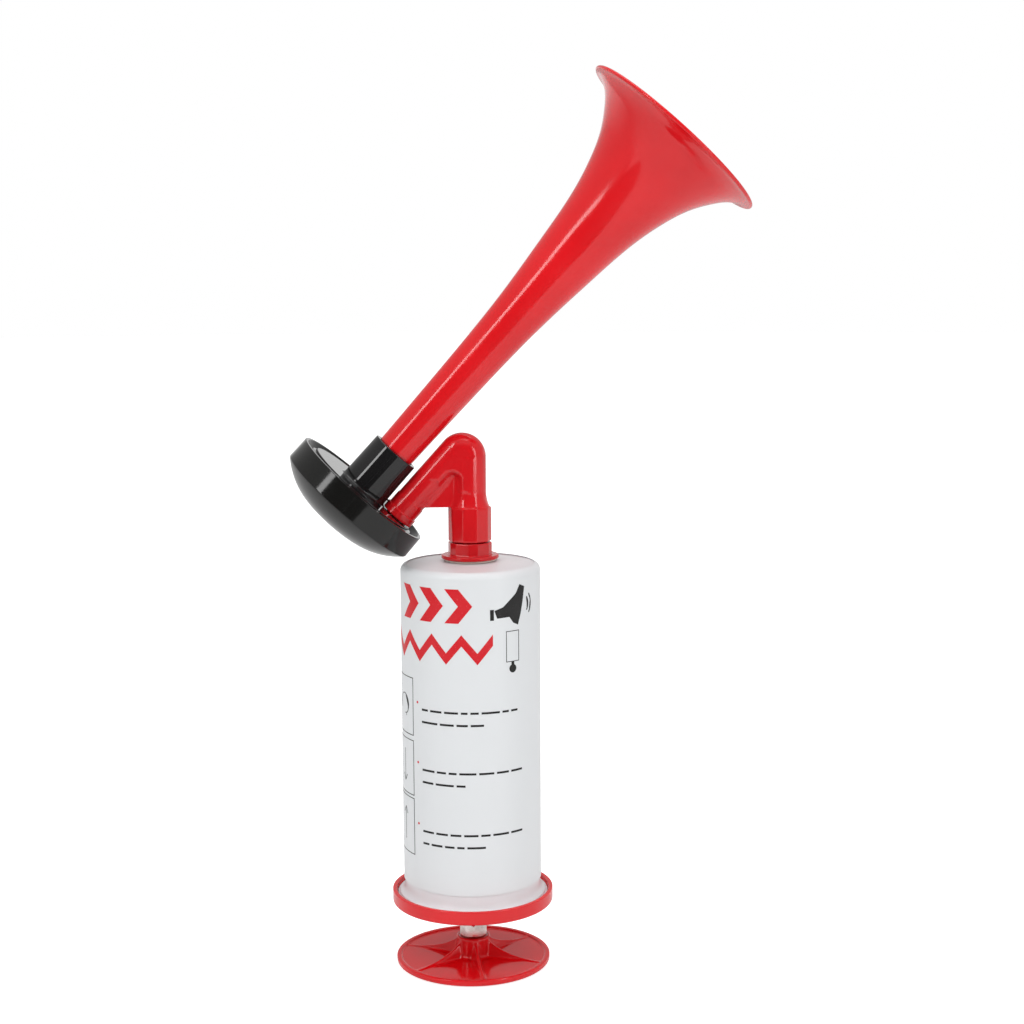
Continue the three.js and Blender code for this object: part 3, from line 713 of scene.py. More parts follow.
def label_film():
    """Shrink film over the barrel and over its shoulder, with small puckers at the top edge."""
    gap, thickness = 0.12, SLEEVE_HIGH.x - BARREL.radius - 0.12
    inner = BARREL.radius + gap
    shoulder, edge = CROWN.shoulder, CROWN.edge
    centre = (BARREL.radius - shoulder, edge - shoulder)
    outline = [(inner, SLEEVE_LOW.z), (inner + thickness, SLEEVE_LOW.z)]
    outline = densified(outline + [(inner + thickness, centre[1])], 3, SLEEVE_LOW.z, centre[1])[:-1]
    outline = [point for point in outline if point[1] < centre[1] - 1]
    outline += arc(centre, shoulder + gap + thickness, 0, 78, 14)
    outline += arc(centre, shoulder + gap, 78, 0, 14)
    rng = np.random.default_rng(PUCKERS.seed)
    # Each is (angle, width, size), with one draw for each.
    ranges = ((0, TURN), (0.02, 0.05), (0.02, 0.06))
    puckers = [tuple(rng.uniform(*ends) for ends in ranges) for _ in range(PUCKERS.count)]
    puckers.append((PUCKERS.seam_angle, 0.05, 0.16))

    def pucker(radii, angles, height):
        start = centre[1] + PUCKERS.start
        if height < start:
            return radii
        share = min(1, (height - start) / PUCKERS.rise)
        for place, width, size in puckers:
            away = (angles - place + math.pi) % TURN - math.pi
            radii = radii + size * share * np.exp(-((away / width) ** 2))
        return radii

    return spun("label_film", outline, FILM, 360, swell=pucker)


def base_cap():
    outer, wall = BASE_HIGH.x, BASE.wall
    low, high = BASE_LOW.z, BASE_HIGH.z
    floor = low + BASE.floor
    inner = BUSH.sleeve + 0.3
    outline = rounded(
        [
            (inner, low, 0.2), (outer, low, BASE.rounding), (outer, high, 0.3),
            (outer - wall, high, 0.3), (outer - wall, high - 1.1, 0.2),
            (outer - wall - BASE.bead, high - 1.5, 0.2),
            (outer - wall - BASE.bead, high - 2.0, 0.2), (outer - wall, high - 2.4, 0.2),
            (outer - wall, floor, 0.5), (inner, floor, 0.2),
        ],
        6,
    )
    piece = spun("base_ring", outline, RED)
    for k in range(BASE.vents):
        angle = (k + 0.5) * TURN / BASE.vents
        spot = (BASE.vent_circle * math.cos(angle), BASE.vent_circle * math.sin(angle), 0)
        drill(piece, spot, BASE.vent_radius, low - 1, floor + 1)
    return piece


def drill(piece, spot, radius, low, high, place=UPRIGHT):
    """Cuts a round hole right through a piece."""
    outline = [(0, low), (radius, low), (radius, high), (0, high)]
    bit = spun("drill", outline, RED, 40, place @ Matrix.Translation(spot))
    cut = piece.modifiers.new("hole", "BOOLEAN")
    cut.operation = "DIFFERENCE"
    cut.solver = "EXACT"
    cut.object = bit
    bpy.context.view_layer.update()
    shape = bpy.data.meshes.new_from_object(piece.evaluated_get(bpy.context.evaluated_depsgraph_get()))
    piece.modifiers.clear()
    piece.data = shape
    bpy.data.objects.remove(bit)


def rod_bush():
    shoulder = BUSH_HIGH.z - BUSH.height
    outline = rounded(
        [
            (BUSH.bore, BUSH_LOW.z, 0.3), (BUSH.sleeve, BUSH_LOW.z, 0.4),
            (BUSH.sleeve, shoulder, 0.1), (BUSH_HIGH.x, shoulder, 0.2),
            (BUSH_HIGH.x, BUSH_HIGH.z, 0.3), (BUSH.bore, BUSH_HIGH.z, 0.3),
        ]
    )
    return spun("rod_bush_sleeve", outline, NYLON, MEDIUM)


COLLAR = Sizes(radius=7.9, top=155.0, narrow=math.radians(22.6), first=math.radians(-82))
NECK = Sizes(flange_low=149.15, flange_top=150.5, spigot=5.4, root=4.7, crest=5.7, bore=2.6)


def outlet_neck():
    """Flange, spanner collar with six wide and six narrow facets, and the threaded nipple."""
    flange = NECK_HIGH.x
    radius, top = COLLAR.radius, COLLAR.top
    outline = rounded(
        [
            (NECK.bore, NECK_LOW.z, 0.3), (NECK.spigot, NECK_LOW.z, 0.4),
            (NECK.spigot, NECK.flange_low, 0.2), (flange, NECK.flange_low, 0.45),
            (flange, NECK.flange_top, 0.45), (radius, NECK.flange_top, 0.5), (radius, top, 0.35),
            (NECK.root, top, 0.4), (NECK.root, NECK_HIGH.z, 0.5),
            (NECK.bore, NECK_HIGH.z, 0.4),
        ]
    )
    outline = densified(outline, 0.14, top + 0.6, NECK_HIGH.z - 0.4)
    middles = [(COLLAR.first + k * TURN / 6, COLLAR.narrow / 2) for k in range(6)]
    wide = (TURN / 6 - COLLAR.narrow) / 2
    middles += [(COLLAR.first + (k + 0.5) * TURN / 6, wide) for k in range(6)]

    def shape(radii, angles, height):
        here = radii[0]
        if NECK.flange_top + 0.05 < height <= top and here > NECK.root + 1.2:
            faceted = np.full_like(angles, 99.0)
            for middle, half in middles:
                lean = np.cos((angles - middle + math.pi) % TURN - math.pi)
                plane = here * math.cos(half) / np.maximum(lean, 0.2)
                faceted = np.minimum(faceted, plane)
            return faceted
        if top + 0.5 < height < NECK_HIGH.z - 0.6 and here > NECK.bore + 1:
            share = ridge_share(angles, height, **NECK_THREAD, **RIDGE)
            return radii + (NECK.crest - NECK.root) * share
        return radii

    return spun("outlet_neck_body", outline, RED_WITH_NECK_PAINTED_SHADE, 240, swell=shape, sharp=22)


def pump_pieces():
    placed(barrel(), "pump", "white_plastic", "pump_cylinder")
    placed(label_film(), "pump", "label_film", "label_sleeve")
    placed(base_cap(), "pump", "red_plastic", "base_cap")
    placed(rod_bush(), "pump", "nylon", "rod_bush")
    placed(outlet_neck(), "pump", "red_plastic", "outlet_neck")


# ---- Horn head ----

PIPE = Sizes(radius=5.9, bore=3.9, flare_radius=7.1, flare_top=173.0)
ELBOW_COLLAR = Sizes(radius=7.75, sides=10, top=167.6, socket=6.1, socket_top=166.0, ridge=5.15)
LEG = Sizes(radius=5.4, bore=3.5, offset=15.5, bottom=-55.8, flange_top=-53.0, collar_top=-48.4)
LEG_END = Sizes(flange=6.1, collar=5.65, spigot=4.3)
BEND_RADIUS = 8.5
WEB = Sizes(half=3.1, bottom=167.7, reach=21.5)
ARCH = Sizes(inset=3.6, radius=2.5, rounding=2.0)
BISECTOR = Vector((-math.cos(TILT), -1 - math.sin(TILT))).normalized()
WEDGE = math.sin((math.pi / 2 - TILT) / 2)
ARCH_X = BISECTOR[0] * (ARCH.inset + ARCH.radius) / WEDGE
ARCH_Z = CROSSING - LEG.offset / math.cos(TILT) + BISECTOR[1] * (ARCH.inset + ARCH.radius) / WEDGE

BEND_X = PIPE.radius - BEND_RADIUS
BEND_OFFSET = LEG.offset - LEG.radius + BEND_RADIUS
BEND_Z = CROSSING - (BEND_OFFSET - BEND_X * math.sin(TILT)) / math.cos(TILT)
BEND_ALONG = BEND_X * math.cos(TILT) + (BEND_Z - CROSSING) * math.sin(TILT)


def elbow_field(x, y, z):
    """The inverted V: upright pipe, rounded knuckle, leg, spigot, arch, web and socket collar."""
    across = np.hypot(x, y)
    along = x * math.cos(TILT) + (z - CROSSING) * math.sin(TILT)
    beside = x * math.sin(TILT) - (z - CROSSING) * math.cos(TILT)
    leg_across = np.hypot(beside - LEG.offset, y)
    top = ELBOW_COLLAR.top
    share = np.clip((PIPE.flare_top - z) / (PIPE.flare_top - top), 0, 1)
    flared = (PIPE.flare_radius - PIPE.radius) * share**2
    pipe = disc_field(across - flared, z, PIPE.radius, top - 2, BEND_Z, 0)
    core = BEND_RADIUS - PIPE.radius
    # The knuckle gets as thin as the leg towards it, and stops below its own middle.
    half = LEG.radius + (PIPE.radius - LEG.radius) * np.clip(1 + x / 8, 0, 1)
    lower = (x - BEND_X) * BISECTOR[0] + (z - BEND_Z) * BISECTOR[1]
    puck = np.hypot(np.maximum(np.hypot(x - BEND_X, z - BEND_Z) - core, 0), y * PIPE.radius / half)
    puck = np.maximum(puck - PIPE.radius, lower - 0.5)
    leg = disc_field(leg_across, along, LEG.radius, LEG.flange_top - 1, BEND_ALONG, 0)
    # Under the knuckle the crotch is filled flush, down to an arch.
    inner = np.minimum(-x, beside - LEG.offset)
    down = (x - ARCH_X) * BISECTOR[0] + (z - ARCH_Z) * BISECTOR[1]
    groove = np.maximum(ARCH.inset - inner, -down - ARCH.radius * WEDGE)
    groove = np.minimum(groove, np.hypot(x - ARCH_X, z - ARCH_Z) - ARCH.radius)
    rounding = ARCH.rounding
    edge = np.maximum(np.maximum(-inner - 2, -lower - rounding), np.maximum(-groove, down - 3)) + rounding
    face = np.abs(y) - (half - 0.02 - rounding)
    outside = np.hypot(np.maximum(edge, 0), np.maximum(face, 0))
    fill = np.minimum(np.maximum(edge, face), 0) + outside - rounding
    body = np.minimum(joined(joined(pipe, leg, 0.8), fill, 0.6), puck)
    slope = (BEND_Z - WEB.bottom) / (WEB.reach + BEND_X)
    under_leg = ((z - BEND_Z) - (x - BEND_X) * slope) / math.hypot(1, slope)
    web = np.maximum(under_leg, x)
    web = joined_inside(web, np.abs(y) - WEB.half, 0.8)
    body = np.minimum(body, joined_inside(joined(body, web, 1.9), WEB.bottom - z, 0.3))
    collar_radius = ELBOW_COLLAR.radius * math.cos(math.pi / ELBOW_COLLAR.sides)
    facets = facets_field(x, y, collar_radius, ELBOW_COLLAR.sides, TURN / 20, 0.12)
    ends = np.maximum(ELBOW_LOW.z - z, z - top)
    collar = joined_inside(facets, ends, 0.5)
    body = joined(body, collar, 0.35)
    spigot = disc_field(leg_across, along, LEG_END.spigot, LEG_BACK, LEG.bottom + 1, 0.3)
    body = joined(body, spigot, 0.2)
    socket = disc_field(across, z, ELBOW_COLLAR.socket, ELBOW_LOW.z - 5, ELBOW_COLLAR.socket_top, 0.2)
    bore = disc_field(across, z, PIPE.bore, top - 4, BEND_Z + 2.7, 0.3)
    leg_bore = disc_field(leg_across, along, LEG.bore, LEG_BACK - 3, BEND_ALONG + 2.7, 0.3)
    passages = np.minimum(np.minimum(socket, bore), leg_bore)
    body = taken(body, passages, 0.3)
    return joined(body, socket_ridge_field(x, y, z, across), 0.15)


def socket_ridge_field(x, y, z, across):
    """The ridge of the socket's thread, which sinks into the wall at both ends."""
    thread = SOCKET_THREAD
    phase = (np.arctan2(y, x) - thread["first_angle"]) / TURN
    lap = np.round((z - thread["start"]) / thread["pitch"] - phase)
    travelled = np.clip(phase + lap, 0, thread["turns"])
    offset = np.abs(z - thread["start"] - (phase + lap) * thread["pitch"])
    run = np.clip(np.minimum(travelled, thread["turns"] - travelled) / (RUN_OUT * thread["turns"]), 0, 1)
    crest = ELBOW_COLLAR.socket - (ELBOW_COLLAR.socket - ELBOW_COLLAR.ridge) * run + 0.3 * (1 - run)
    depth = across - crest
    flank = offset - 0.25 - 0.42 * np.clip(depth, -1, 1.2)
    ends = np.maximum(-(phase + lap), phase + lap - thread["turns"]) * 30
    wall = across - (ELBOW_COLLAR.socket + 0.35)
    return np.maximum(np.maximum(np.maximum(-depth, flank), wall), ends)


def elbow():
    return meshed(
        "elbow_body",
        elbow_field,
        (ELBOW_LOW.x - 1, ELBOW_LOW.y - 1, ELBOW_LOW.z - 1),
        (ELBOW_HIGH.x + 1, ELBOW_HIGH.y + 1, ELBOW_HIGH.z + 1),
        0.27,
        RED_WITH_ELBOW_PAINTED_SHADE,
    )


def leg_ring():
    """The leg's end: a collar and a bigger flange that seats on the chamber."""
    bore = LEG.bore + 1
    outline = rounded(
        [
            (bore, LEG.bottom, 0.2), (LEG_END.flange, LEG.bottom, 0.2),
            (LEG_END.flange, LEG.flange_top, 0.25),
            (LEG_END.collar, LEG.flange_top + 0.05, 0.12),
            (LEG_END.collar, LEG.collar_top, 0.15), (bore, LEG.collar_top, 0.1),
        ]
    )
    place = ALONG_HORN @ Matrix.Translation((LEG.offset, 0, 0))
    return spun("elbow_end_ring", outline, RED_WITH_ELBOW_PAINTED_SHADE, 128, place, sharp=35)


CHAMBER = Sizes(
    front=-56.1, floor=2.2, inner=20.0, throat=7.2, throat_bore=5.2, root=22.9, crest=24,
)
SOCKET = Sizes(radius=9.0, bore=7.15, depth=-52.4, draft=0.2)


def diaphragm_housing():
    plate_back = CHAMBER.front - CHAMBER.floor
    root = CHAMBER.root
    outline = rounded(
        [
            (CHAMBER.throat_bore, HOUSING_BACK, 0.3), (CHAMBER.throat_bore, SOCKET.depth),
            (SOCKET.bore, SOCKET.depth), (SOCKET.bore, HOUSING_FRONT, 0.35),
            (SOCKET.radius - SOCKET.draft, HOUSING_FRONT, 0.4),
            (SOCKET.radius, CHAMBER.front, 0.9), (root - 1.4, CHAMBER.front, 0.3),
            (root - 1.4, CHAMBER.front - 0.7, 0.2), (root, CHAMBER.front - 0.9, 0.3),
            (root, HOUSING_BACK, 0.3), (CHAMBER.inner, HOUSING_BACK, 0.3),
            (CHAMBER.inner, plate_back, 0.8), (CHAMBER.throat, plate_back, 0.5),
            (CHAMBER.throat, HOUSING_BACK, 0.3),
        ]
    )
    outline = densified(outline, 0.2, HOUSING_BACK + 0.3, CHAMBER.front - 0.8)

    def thread(radii, angles, height):
        if abs(radii[0] - root) > 0.02 or not HOUSING_BACK + 0.3 < height < CHAMBER.front - 0.8:
            return radii
        share = ridge_share(angles, height, **CAP_THREAD, **RIDGE)
        return radii + (CHAMBER.crest - root) * share

    piece = spun("chamber_body", outline, CHAMBER_BLACK, 240, ALONG_HORN, swell=thread, sharp=35)
    spot = (LEG.offset, 0, 0)
    drill(piece, spot, LEG_END.spigot + 0.3, plate_back - 1, CHAMBER.front + 0.5, ALONG_HORN)
    return piece


CAP = Sizes(front_radius=26.9, back=-64.4, dome=8.5, power=3.15, wall=1.9, hollow=18.0)
CAP_BORE = Sizes(shoulder=-64.7, pocket=22.4, root=24.5, crest=23.45, mouth=1.25)


def dome_height(radius):
    return CAP.back - CAP.dome * (1 - (radius / CAP_RADIUS) ** CAP.power)


def back_cap():
    shoulder = CAP_BORE.shoulder
    outline = rounded(
        [
            (CAP.hollow, shoulder, 0.3), (CAP_BORE.pocket, shoulder),
            (CAP_BORE.pocket, shoulder + 1.8, 0.2), (CAP_BORE.root, shoulder + 2.4, 0.2),
            (CAP_BORE.root, CAP_FRONT - 2.2, 0.2),
            (CAP_BORE.root + CAP_BORE.mouth, CAP_FRONT, 0.15),
            (CAP.front_radius, CAP_FRONT, 0.25), (CAP_RADIUS, CAP.back + 0.1, 0.55),
            (CAP_RADIUS * 0.985, dome_height(CAP_RADIUS * 0.985)),
        ]
    )[:-1]
    outline = densified(outline, 0.2, shoulder + 2.5, CAP_FRONT - 0.6)
    for k in range(1, 40):
        radius = CAP_RADIUS * 0.985 * math.cos(k * math.pi / 80)
        outline.append((radius, dome_height(radius)))
    outline.append((0, dome_height(0)))
    outline.append((0, dome_height(0) + CAP.wall))
    for k in range(1, 9):
        radius = CAP.hollow * k / 8
        outline.append((radius, dome_height(radius) + CAP.wall))

    def thread(radii, angles, height):
        if abs(radii[0] - CAP_BORE.root) > 0.02:
            return radii
        share = ridge_share(angles, height, **CAP_INNER_THREAD, **RIDGE)
        return radii - (CAP_BORE.root - CAP_BORE.crest) * share

    return spun("cap_shell", outline, BLACK, 240, ALONG_HORN, swell=thread, sharp=35)


BELL = Sizes(plug=6.8, throat=5.2, wall=1.6, lip=1.4)
# The trumpet's outside, as distance along the axis and radius.
BELL_OUTLINE = [
    (-38.3, 7.05), (0, 7.95), (28, 9.25), (52, 11.6), (72, 14.3), (84, 17.4), (93, 21), (100, 25.5),
    (104.5, 29.6), (107, 34),
]


def horn_bell():
    curve = smooth_curve(BELL_OUTLINE, 120)
    tangent = np.gradient(curve, axis=0)
    tangent /= np.linalg.norm(tangent, axis=1)[:, None]
    outer = [(r, along) for along, r in curve]
    inner = [(r - BELL.wall * t[0], along + BELL.wall * t[1]) for (along, r), t in zip(curve, tangent)]
    half_lip = BELL.lip / 2
    rim = arc((BELL_RIM - half_lip, BELL_FRONT - half_lip), half_lip, -90, 90, 10)
    outline = [
        (BELL.throat, BELL_BACK), (BELL.plug, BELL_BACK), (BELL.plug, BELL_OUTLINE[0][0]),
        *outer,
        *rim,
        *reversed(inner),
    ]
    return spun("trumpet", outline, RED, 256, ALONG_HORN)


def horn_pieces():
    placed(elbow(), "horn_head", "red_plastic", "elbow_pipe")
    placed(leg_ring(), "horn_head", "red_plastic")
    placed(diaphragm_housing(), "horn_head", "black_plastic", "diaphragm_housing")
    placed(horn_bell(), "horn_head", "red_plastic", "horn_bell")
    placed(back_cap(), "back_cap", "black_plastic", "back_cap")


# ---- Label print: generic marks, with no lettering ----

INK = Sizes(lift=0.012, thickness=0.03, step=1.2)


def wrapped(name, shapes, material):
    """Closed outlines of (distance round the barrel from its front, height), wrapped on the film."""
    radius = SLEEVE_HIGH.x + INK.lift
    flat = bmesh.new()
    for outline in shapes:
        flat.faces.new([flat.verts.new((u, 0, v)) for u, v in outline])
    bmesh.ops.triangulate(flat, faces=flat.faces)
    left = min(vertex.co.x for vertex in flat.verts)
    right = max(vertex.co.x for vertex in flat.verts)
    for k in range(1, math.ceil((right - left) / INK.step)):
        everything = flat.verts[:] + flat.edges[:] + flat.faces[:]
        bmesh.ops.bisect_plane(
            flat, geom=everything, dist=1e-5, plane_co=(left + k * INK.step, 0, 0), plane_no=(1, 0, 0)
        )
    bmesh.ops.dissolve_degenerate(flat, dist=1e-5, edges=flat.edges)
    flat.verts.index_update()
    count = len(flat.verts)
    vertices = []
    for height in (0, INK.thickness):
        for vertex in flat.verts:
            angle = vertex.co.x / SLEEVE_HIGH.x - math.pi / 2
            reach = radius + height
            vertices.append((reach * math.cos(angle), reach * math.sin(angle), vertex.co.z))
    faces = []
    for face in flat.faces:
        corners = [vertex.index for vertex in face.verts]
        faces.append(corners[::-1])
        faces.append([index + count for index in corners])
        for edge in face.edges:
            if edge.is_boundary:
                first, second = edge.verts[0].index, edge.verts[1].index
                faces.append((first, second, second + count, first + count))
    flat.free()
    return placed(built(name, vertices, faces, material, sharp=30), "pump", "label_film")


def bar(left, bottom, width, height):
    right, top = left + width, bottom + height
    return [(left, bottom), (right, bottom), (right, top), (left, top)]


def chevron(left, bottom, width, height, arm):
    """An arrowhead that points right, as its lower and upper arm."""
    point, middle, top = left + width - arm, bottom + height / 2, bottom + height
    lower = [(left, bottom), (left + arm, bottom), (point + arm, middle), (point, middle)]
    upper = [(point, middle), (point + arm, middle), (left + arm, top), (left, top)]
    return [lower, upper]


def zigzag(left, bottom, width, height, thickness, rising):
    """One stroke of a zigzag band."""
    first, last = (0, height - thickness) if rising else (height - thickness, 0)
    right = left + width
    return [
        (left, bottom + first), (right, bottom + last), (right, bottom + last + thickness),
        (left, bottom + first + thickness),
    ]


def disc(u, v, radius, sides=24):
    angles = np.linspace(0, TURN, sides, endpoint=False)
    return [(u + radius * math.cos(a), v + radius * math.sin(a)) for a in angles]


def band(u, v, inner, outer, start, end, steps=12):
    """Part of a ring, between two angles in degrees."""
    return arc((u, v), outer, start, end, steps) + arc((u, v), inner, end, start, steps)


def frame_lines(left, bottom, width, height, line):
    return [
        bar(left, bottom, width, line),
        bar(left, bottom + height - line, width, line),
        bar(left, bottom + line, line, height - 2 * line),
        bar(left + width - line, bottom + line, line, height - 2 * line),
    ]


def strokes(points, line):
    """A thin line through the points, one bar for each stretch."""
    shapes = []
    for (u0, v0), (u1, v1) in zip(points, points[1:]):
        length = math.hypot(u1 - u0, v1 - v0)
        across = ((v0 - v1) / length * line / 2, (u1 - u0) / length * line / 2)
        shapes.append(
            [
                (u0 - across[0], v0 - across[1]), (u1 - across[0], v1 - across[1]),
                (u1 + across[0], v1 + across[1]), (u0 + across[0], v0 + across[1]),
            ]
        )
    return shapes


# Every place on the label is (distance round the barrel from its front, height).
CHEVRONS = Sizes(count=3, left=-30.5, bottom=130, pitch=10.4, width=9.9, height=12, arm=5.0)
ZIGZAG = Sizes(count=8, left=-37.0, bottom=115.4, pitch=5.55, height=10.6, thickness=4.0)
TRUMPET = [
    (8.0, 134.2), (11.2, 135.2), (16.6, 139.6), (18.4, 142.6), (20.8, 141.6), (20.0, 137.0),
    (19.0, 132.6), (17.6, 128.4), (15.4, 129.4), (14.0, 131.6), (9.0, 131.4),
]
NOTES = Sizes(
    seed=11, left=-19.6, first_width=38.8, drop=4.4, shortest=2.2, longest=7.0, gap=1.0, leftover=1.5,
    line=0.75, bullet=(-21.9, 2.2), bullet_radius=0.45,
)
# The height of each note's first line, and the width of its second.
NOTE_ROWS = ((98.3, 24.5), (76.6, 18.5), (54.3, 24.5))
PICTURES = Sizes(left=-38.6, width=14.2, middle=-31.4, line=0.3, head_reach=1.8)
PICTURE_ROWS = ((87.8, 21.0), (65.9, 20.2), (44.2, 20.8))
# A straight arrow's tail, shaft end, tip, and the height of its barbs.
ARROWS = ((82.0, 70.4, 70.2, 72.6), (48.6, 60.4, 60.6, 58.2))


def title_print():
    """Two bold rows in the place of a title: arrowheads, then a zigzag band."""
    shapes = []
    for k in range(CHEVRONS.count):
        left = CHEVRONS.left + k * CHEVRONS.pitch
        shapes += chevron(left, CHEVRONS.bottom, CHEVRONS.width, CHEVRONS.height, CHEVRONS.arm)
    for k in range(ZIGZAG.count):
        left = ZIGZAG.left + k * ZIGZAG.pitch
        shapes.append(
            zigzag(left, ZIGZAG.bottom, ZIGZAG.pitch, ZIGZAG.height, ZIGZAG.thickness, k % 2)
        )
    wrapped("print_title", shapes, INK_RED)


def trumpet_print():
    """A small trumpet with sound arcs, over an outlined post."""
    wrapped("print_trumpet", [TRUMPET, bar(6.4, 130.8, 1.4, 3.8)], INK_BLACK)
    arcs = [band(19.0, 135.4, r, r + 0.55, -38, 38, 8) for r in (3.6, 5.2)]
    post = frame_lines(12.4, 115.6, 5.6, 11.0, 0.25)
    foot = [disc(15.2, 113.2, 1.5), bar(14.6, 113.6, 1.2, 2.0)]
    wrapped("print_mark_lines", arcs + post + foot, INK_BLACK)


def notes_print():
    """Notes set as plain bars, each with its bullet."""
    words, bullets = [], []
    rng = np.random.default_rng(NOTES.seed)
    for top, second_width in NOTE_ROWS:
        u, rise = NOTES.bullet
        bullets.append(disc(u, top + rise, NOTES.bullet_radius, 12))
        for v, width in ((top, NOTES.first_width), (top - NOTES.drop, second_width)):
            u = NOTES.left
            end = u + width
            while u < end - NOTES.leftover:
                word = min(rng.uniform(NOTES.shortest, NOTES.longest), end - u)
                words.append(bar(u, v - 0.45, word, NOTES.line))
                u += word + NOTES.gap
    wrapped("print_notes", words, INK_BLACK)
    wrapped("print_bullets", bullets, INK_RED)


def pictures_print():
    """Three framed pictures by the notes: turn, pull and push arrows."""
    line, middle, reach = PICTURES.line, PICTURES.middle, PICTURES.head_reach
    shapes = []
    for bottom, height in PICTURE_ROWS:
        shapes += frame_lines(PICTURES.left, bottom, PICTURES.width, height, line)
    shapes += [band(middle, 98.4, 3.6, 3.6 + line, -60, 210, 20)]
    shapes += strokes([(-29.6, 94.2), (-29.7, 95.3), (-30.9, 95.0)], line)
    for tail, shaft, tip, barbs in ARROWS:
        shapes += strokes([(middle, tail), (middle, shaft)], line)
        shapes += strokes([(middle - reach, barbs), (middle, tip), (middle + reach, barbs)], line)
    wrapped("print_pictures", shapes, INK_BLACK)


def label_print():
    title_print()
    trumpet_print()
    notes_print()
    pictures_print()


# ---- Studio ----


# Fitted to the photograph's view: bearing, pitch and roll in degrees, the rest in millimetres.
CAMERA = Sizes(turn=(2.248, -7.742, -0.312), lens=64.72, sensor=36, place=(-10.43, -649.63, 253.83))


def camera():
    """From the front, a little to the left and above the middle, looking slightly down."""
    bearing, pitch, roll = (math.radians(angle) for angle in CAMERA.turn)
    forward = Vector(
        (math.sin(bearing) * math.cos(pitch), math.cos(bearing) * math.cos(pitch), math.sin(pitch))
    )
    level = Vector((math.cos(bearing), -math.sin(bearing), 0))
    upward = level.cross(forward)
    right = level * math.cos(roll) + upward * math.sin(roll)
    up = right.cross(forward)
    lens = bpy.data.cameras.new("camera")
    lens.lens = CAMERA.lens
    lens.sensor_width = CAMERA.sensor
    eye = bpy.data.objects.new("camera", lens)
    turn = Matrix((right, up, -forward)).transposed().to_4x4()
    eye.matrix_world = Matrix.Translation(Vector(CAMERA.place) * MM) @ turn
    bpy.context.scene.collection.objects.link(eye)
    bpy.context.scene.camera = eye


def area_light(name, place, target, width, height, power, glossy):
    """A soft rectangular light that faces its target, in metres."""
    light = bpy.data.lights.new(name, "AREA")
    light.shape = "RECTANGLE"
    light.size = width
    light.size_y = height
    light.energy = power
    lamp = bpy.data.objects.new(name, light)
    lamp.location = place
    lamp.visible_glossy = glossy
    lamp.rotation_euler = (Vector(target) - Vector(place)).to_track_quat("-Z", "Y").to_euler()
    bpy.context.scene.collection.objects.link(lamp)


TENT = 0.50  # brightness of the tent's walls
HORIZON = 0.95  # brightness behind the object, at table height
# Where the dark opening and the bright horizon begin and end, by bearing and by height.
OPENING = Sizes(bearing=(-0.74, -0.58), height=(0.55, 0.8), brightness=0.05)
GLOW = Sizes(bearing=(0.1, 0.6), height=(0.08, 0.22))


def studio_world():
    """A grey tent, dark behind the camera and bright low behind the object; the camera sees white."""
    world = bpy.data.worlds.new("studio")
    bpy.context.scene.world = world
    world.use_nodes = True
    tree = world.node_tree
    direction = node(tree, "ShaderNodeTexCoord").outputs["Generated"]
    height = node(tree, "ShaderNodeSeparateXYZ", {0: direction}).outputs["Z"]
    flat = node(tree, "ShaderNodeVectorMath", {0: direction, 1: (1, 1, 0)}, operation="MULTIPLY")
    level = node(tree, "ShaderNodeVectorMath", {0: flat.outputs[0]}, operation="NORMALIZE")
    bearing = node(tree, "ShaderNodeSeparateXYZ", {0: level.outputs[0]}).outputs["Y"]
    in_front = ranged(tree, bearing, 1, 0, *OPENING.bearing)
    opening = product(tree, in_front, ranged(tree, height, 1, 0, *OPENING.height))
    behind = ranged(tree, bearing, 0, 1, *GLOW.bearing)
    glow = product(tree, behind, ranged(tree, height, 1, 0, *GLOW.height))
    walls = ranged(tree, opening, TENT, OPENING.brightness)
    extra = ranged(tree, glow, 0, HORIZON - TENT)
    lit = node(tree, "ShaderNodeMath", {0: walls, 1: extra}, operation="ADD").outputs[0]
    seen = node(tree, "ShaderNodeLightPath").outputs["Is Camera Ray"]
    strength = node(tree, "ShaderNodeMix", {0: seen, 2: lit, 3: 1.0}, data_type="FLOAT").outputs[0]
    fill(tree, tree.nodes["Background"], {"Color": (1, 1, 1, 1), "Strength": strength})


CARD = Sizes(near=-620, far=-5000, slope=0.95, heights=(0.2, 0.6))


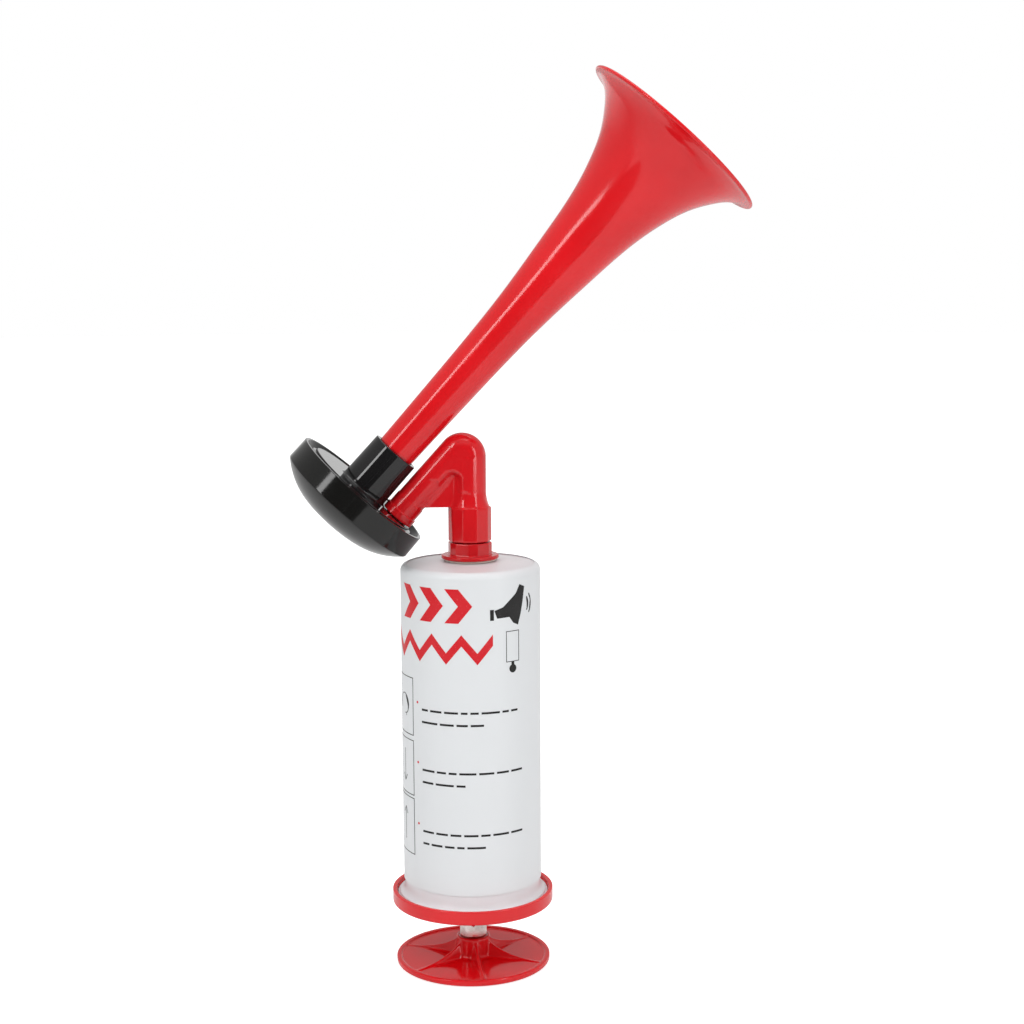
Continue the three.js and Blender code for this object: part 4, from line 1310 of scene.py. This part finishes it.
def floor_card():
    """A dark cloth on the floor under and behind the camera, seen only in the object's gloss."""
    material, tree, shader, _ = new_material("dark_cloth")
    fill(tree, shader, {"Base Color": (0.02, 0.02, 0.02, 1), "Roughness": 1.0})
    near, far, slope = CARD.near, CARD.far, CARD.slope
    corners = [(near * slope, near), (-near * slope, near), (-far * slope, far), (far * slope, far)]
    vertices = [(x, y, z) for z in CARD.heights for x, y in corners]
    faces = [(3, 2, 1, 0), (4, 5, 6, 7), (0, 1, 5, 4), (1, 2, 6, 5), (2, 3, 7, 6), (3, 0, 4, 7)]
    piece = built("floor_card", vertices, faces, material)
    piece.visible_camera = piece.visible_diffuse = piece.visible_shadow = False


FLOOR = Sizes(radius=6000, low=-12, top=-0.4)


def floor():
    material, tree, shader, place = new_material("pale_floor")
    grain = noise(tree, place, 6, 3.0)
    seen = node(tree, "ShaderNodeLightPath").outputs["Is Camera Ray"]
    inputs = {
        "Base Color": mixed(tree, grain, (0.80, 0.80, 0.80), (0.82, 0.82, 0.82)),
        "Roughness": 0.7,
        "Specular IOR Level": 0.1,
        "Emission Color": (1, 1, 1, 1),
        "Emission Strength": ranged(tree, seen, 0.1, 0.75),
    }
    fill(tree, shader, inputs)
    outline = [(0, FLOOR.low), (FLOOR.radius, FLOOR.low), (FLOOR.radius, FLOOR.top), (0, FLOOR.top)]
    piece = spun("floor", outline, material, 64)


# Name, place, target, width, height in metres, power in watts, and whether gloss shows it.
LIGHTS = (
    ("left_box", (-1.55, -1.5, 1.38), (0, 0, 0.18), 0.36, 1.4, 12, True),
    ("right_box", (0.98, -1.05, 0.40), (0, 0, 0.14), 0.24, 1.2, 4.6, True),
    ("front_box", (0, -1.3, 1.7), (0, 0, 0.15), 2.4, 1.4, 17, False),
    ("top_box", (0.1, 0.2, 1.7), (0, 0, 0.1), 1.4, 1.4, 8, True),
)


def studio():
    camera()
    studio_world()
    floor()
    floor_card()
    for light in LIGHTS:
        area_light(*light)
    bpy.context.scene.view_settings.view_transform = "Standard"


studio()
handle_pieces()
pump_pieces()
label_print()
horn_pieces()
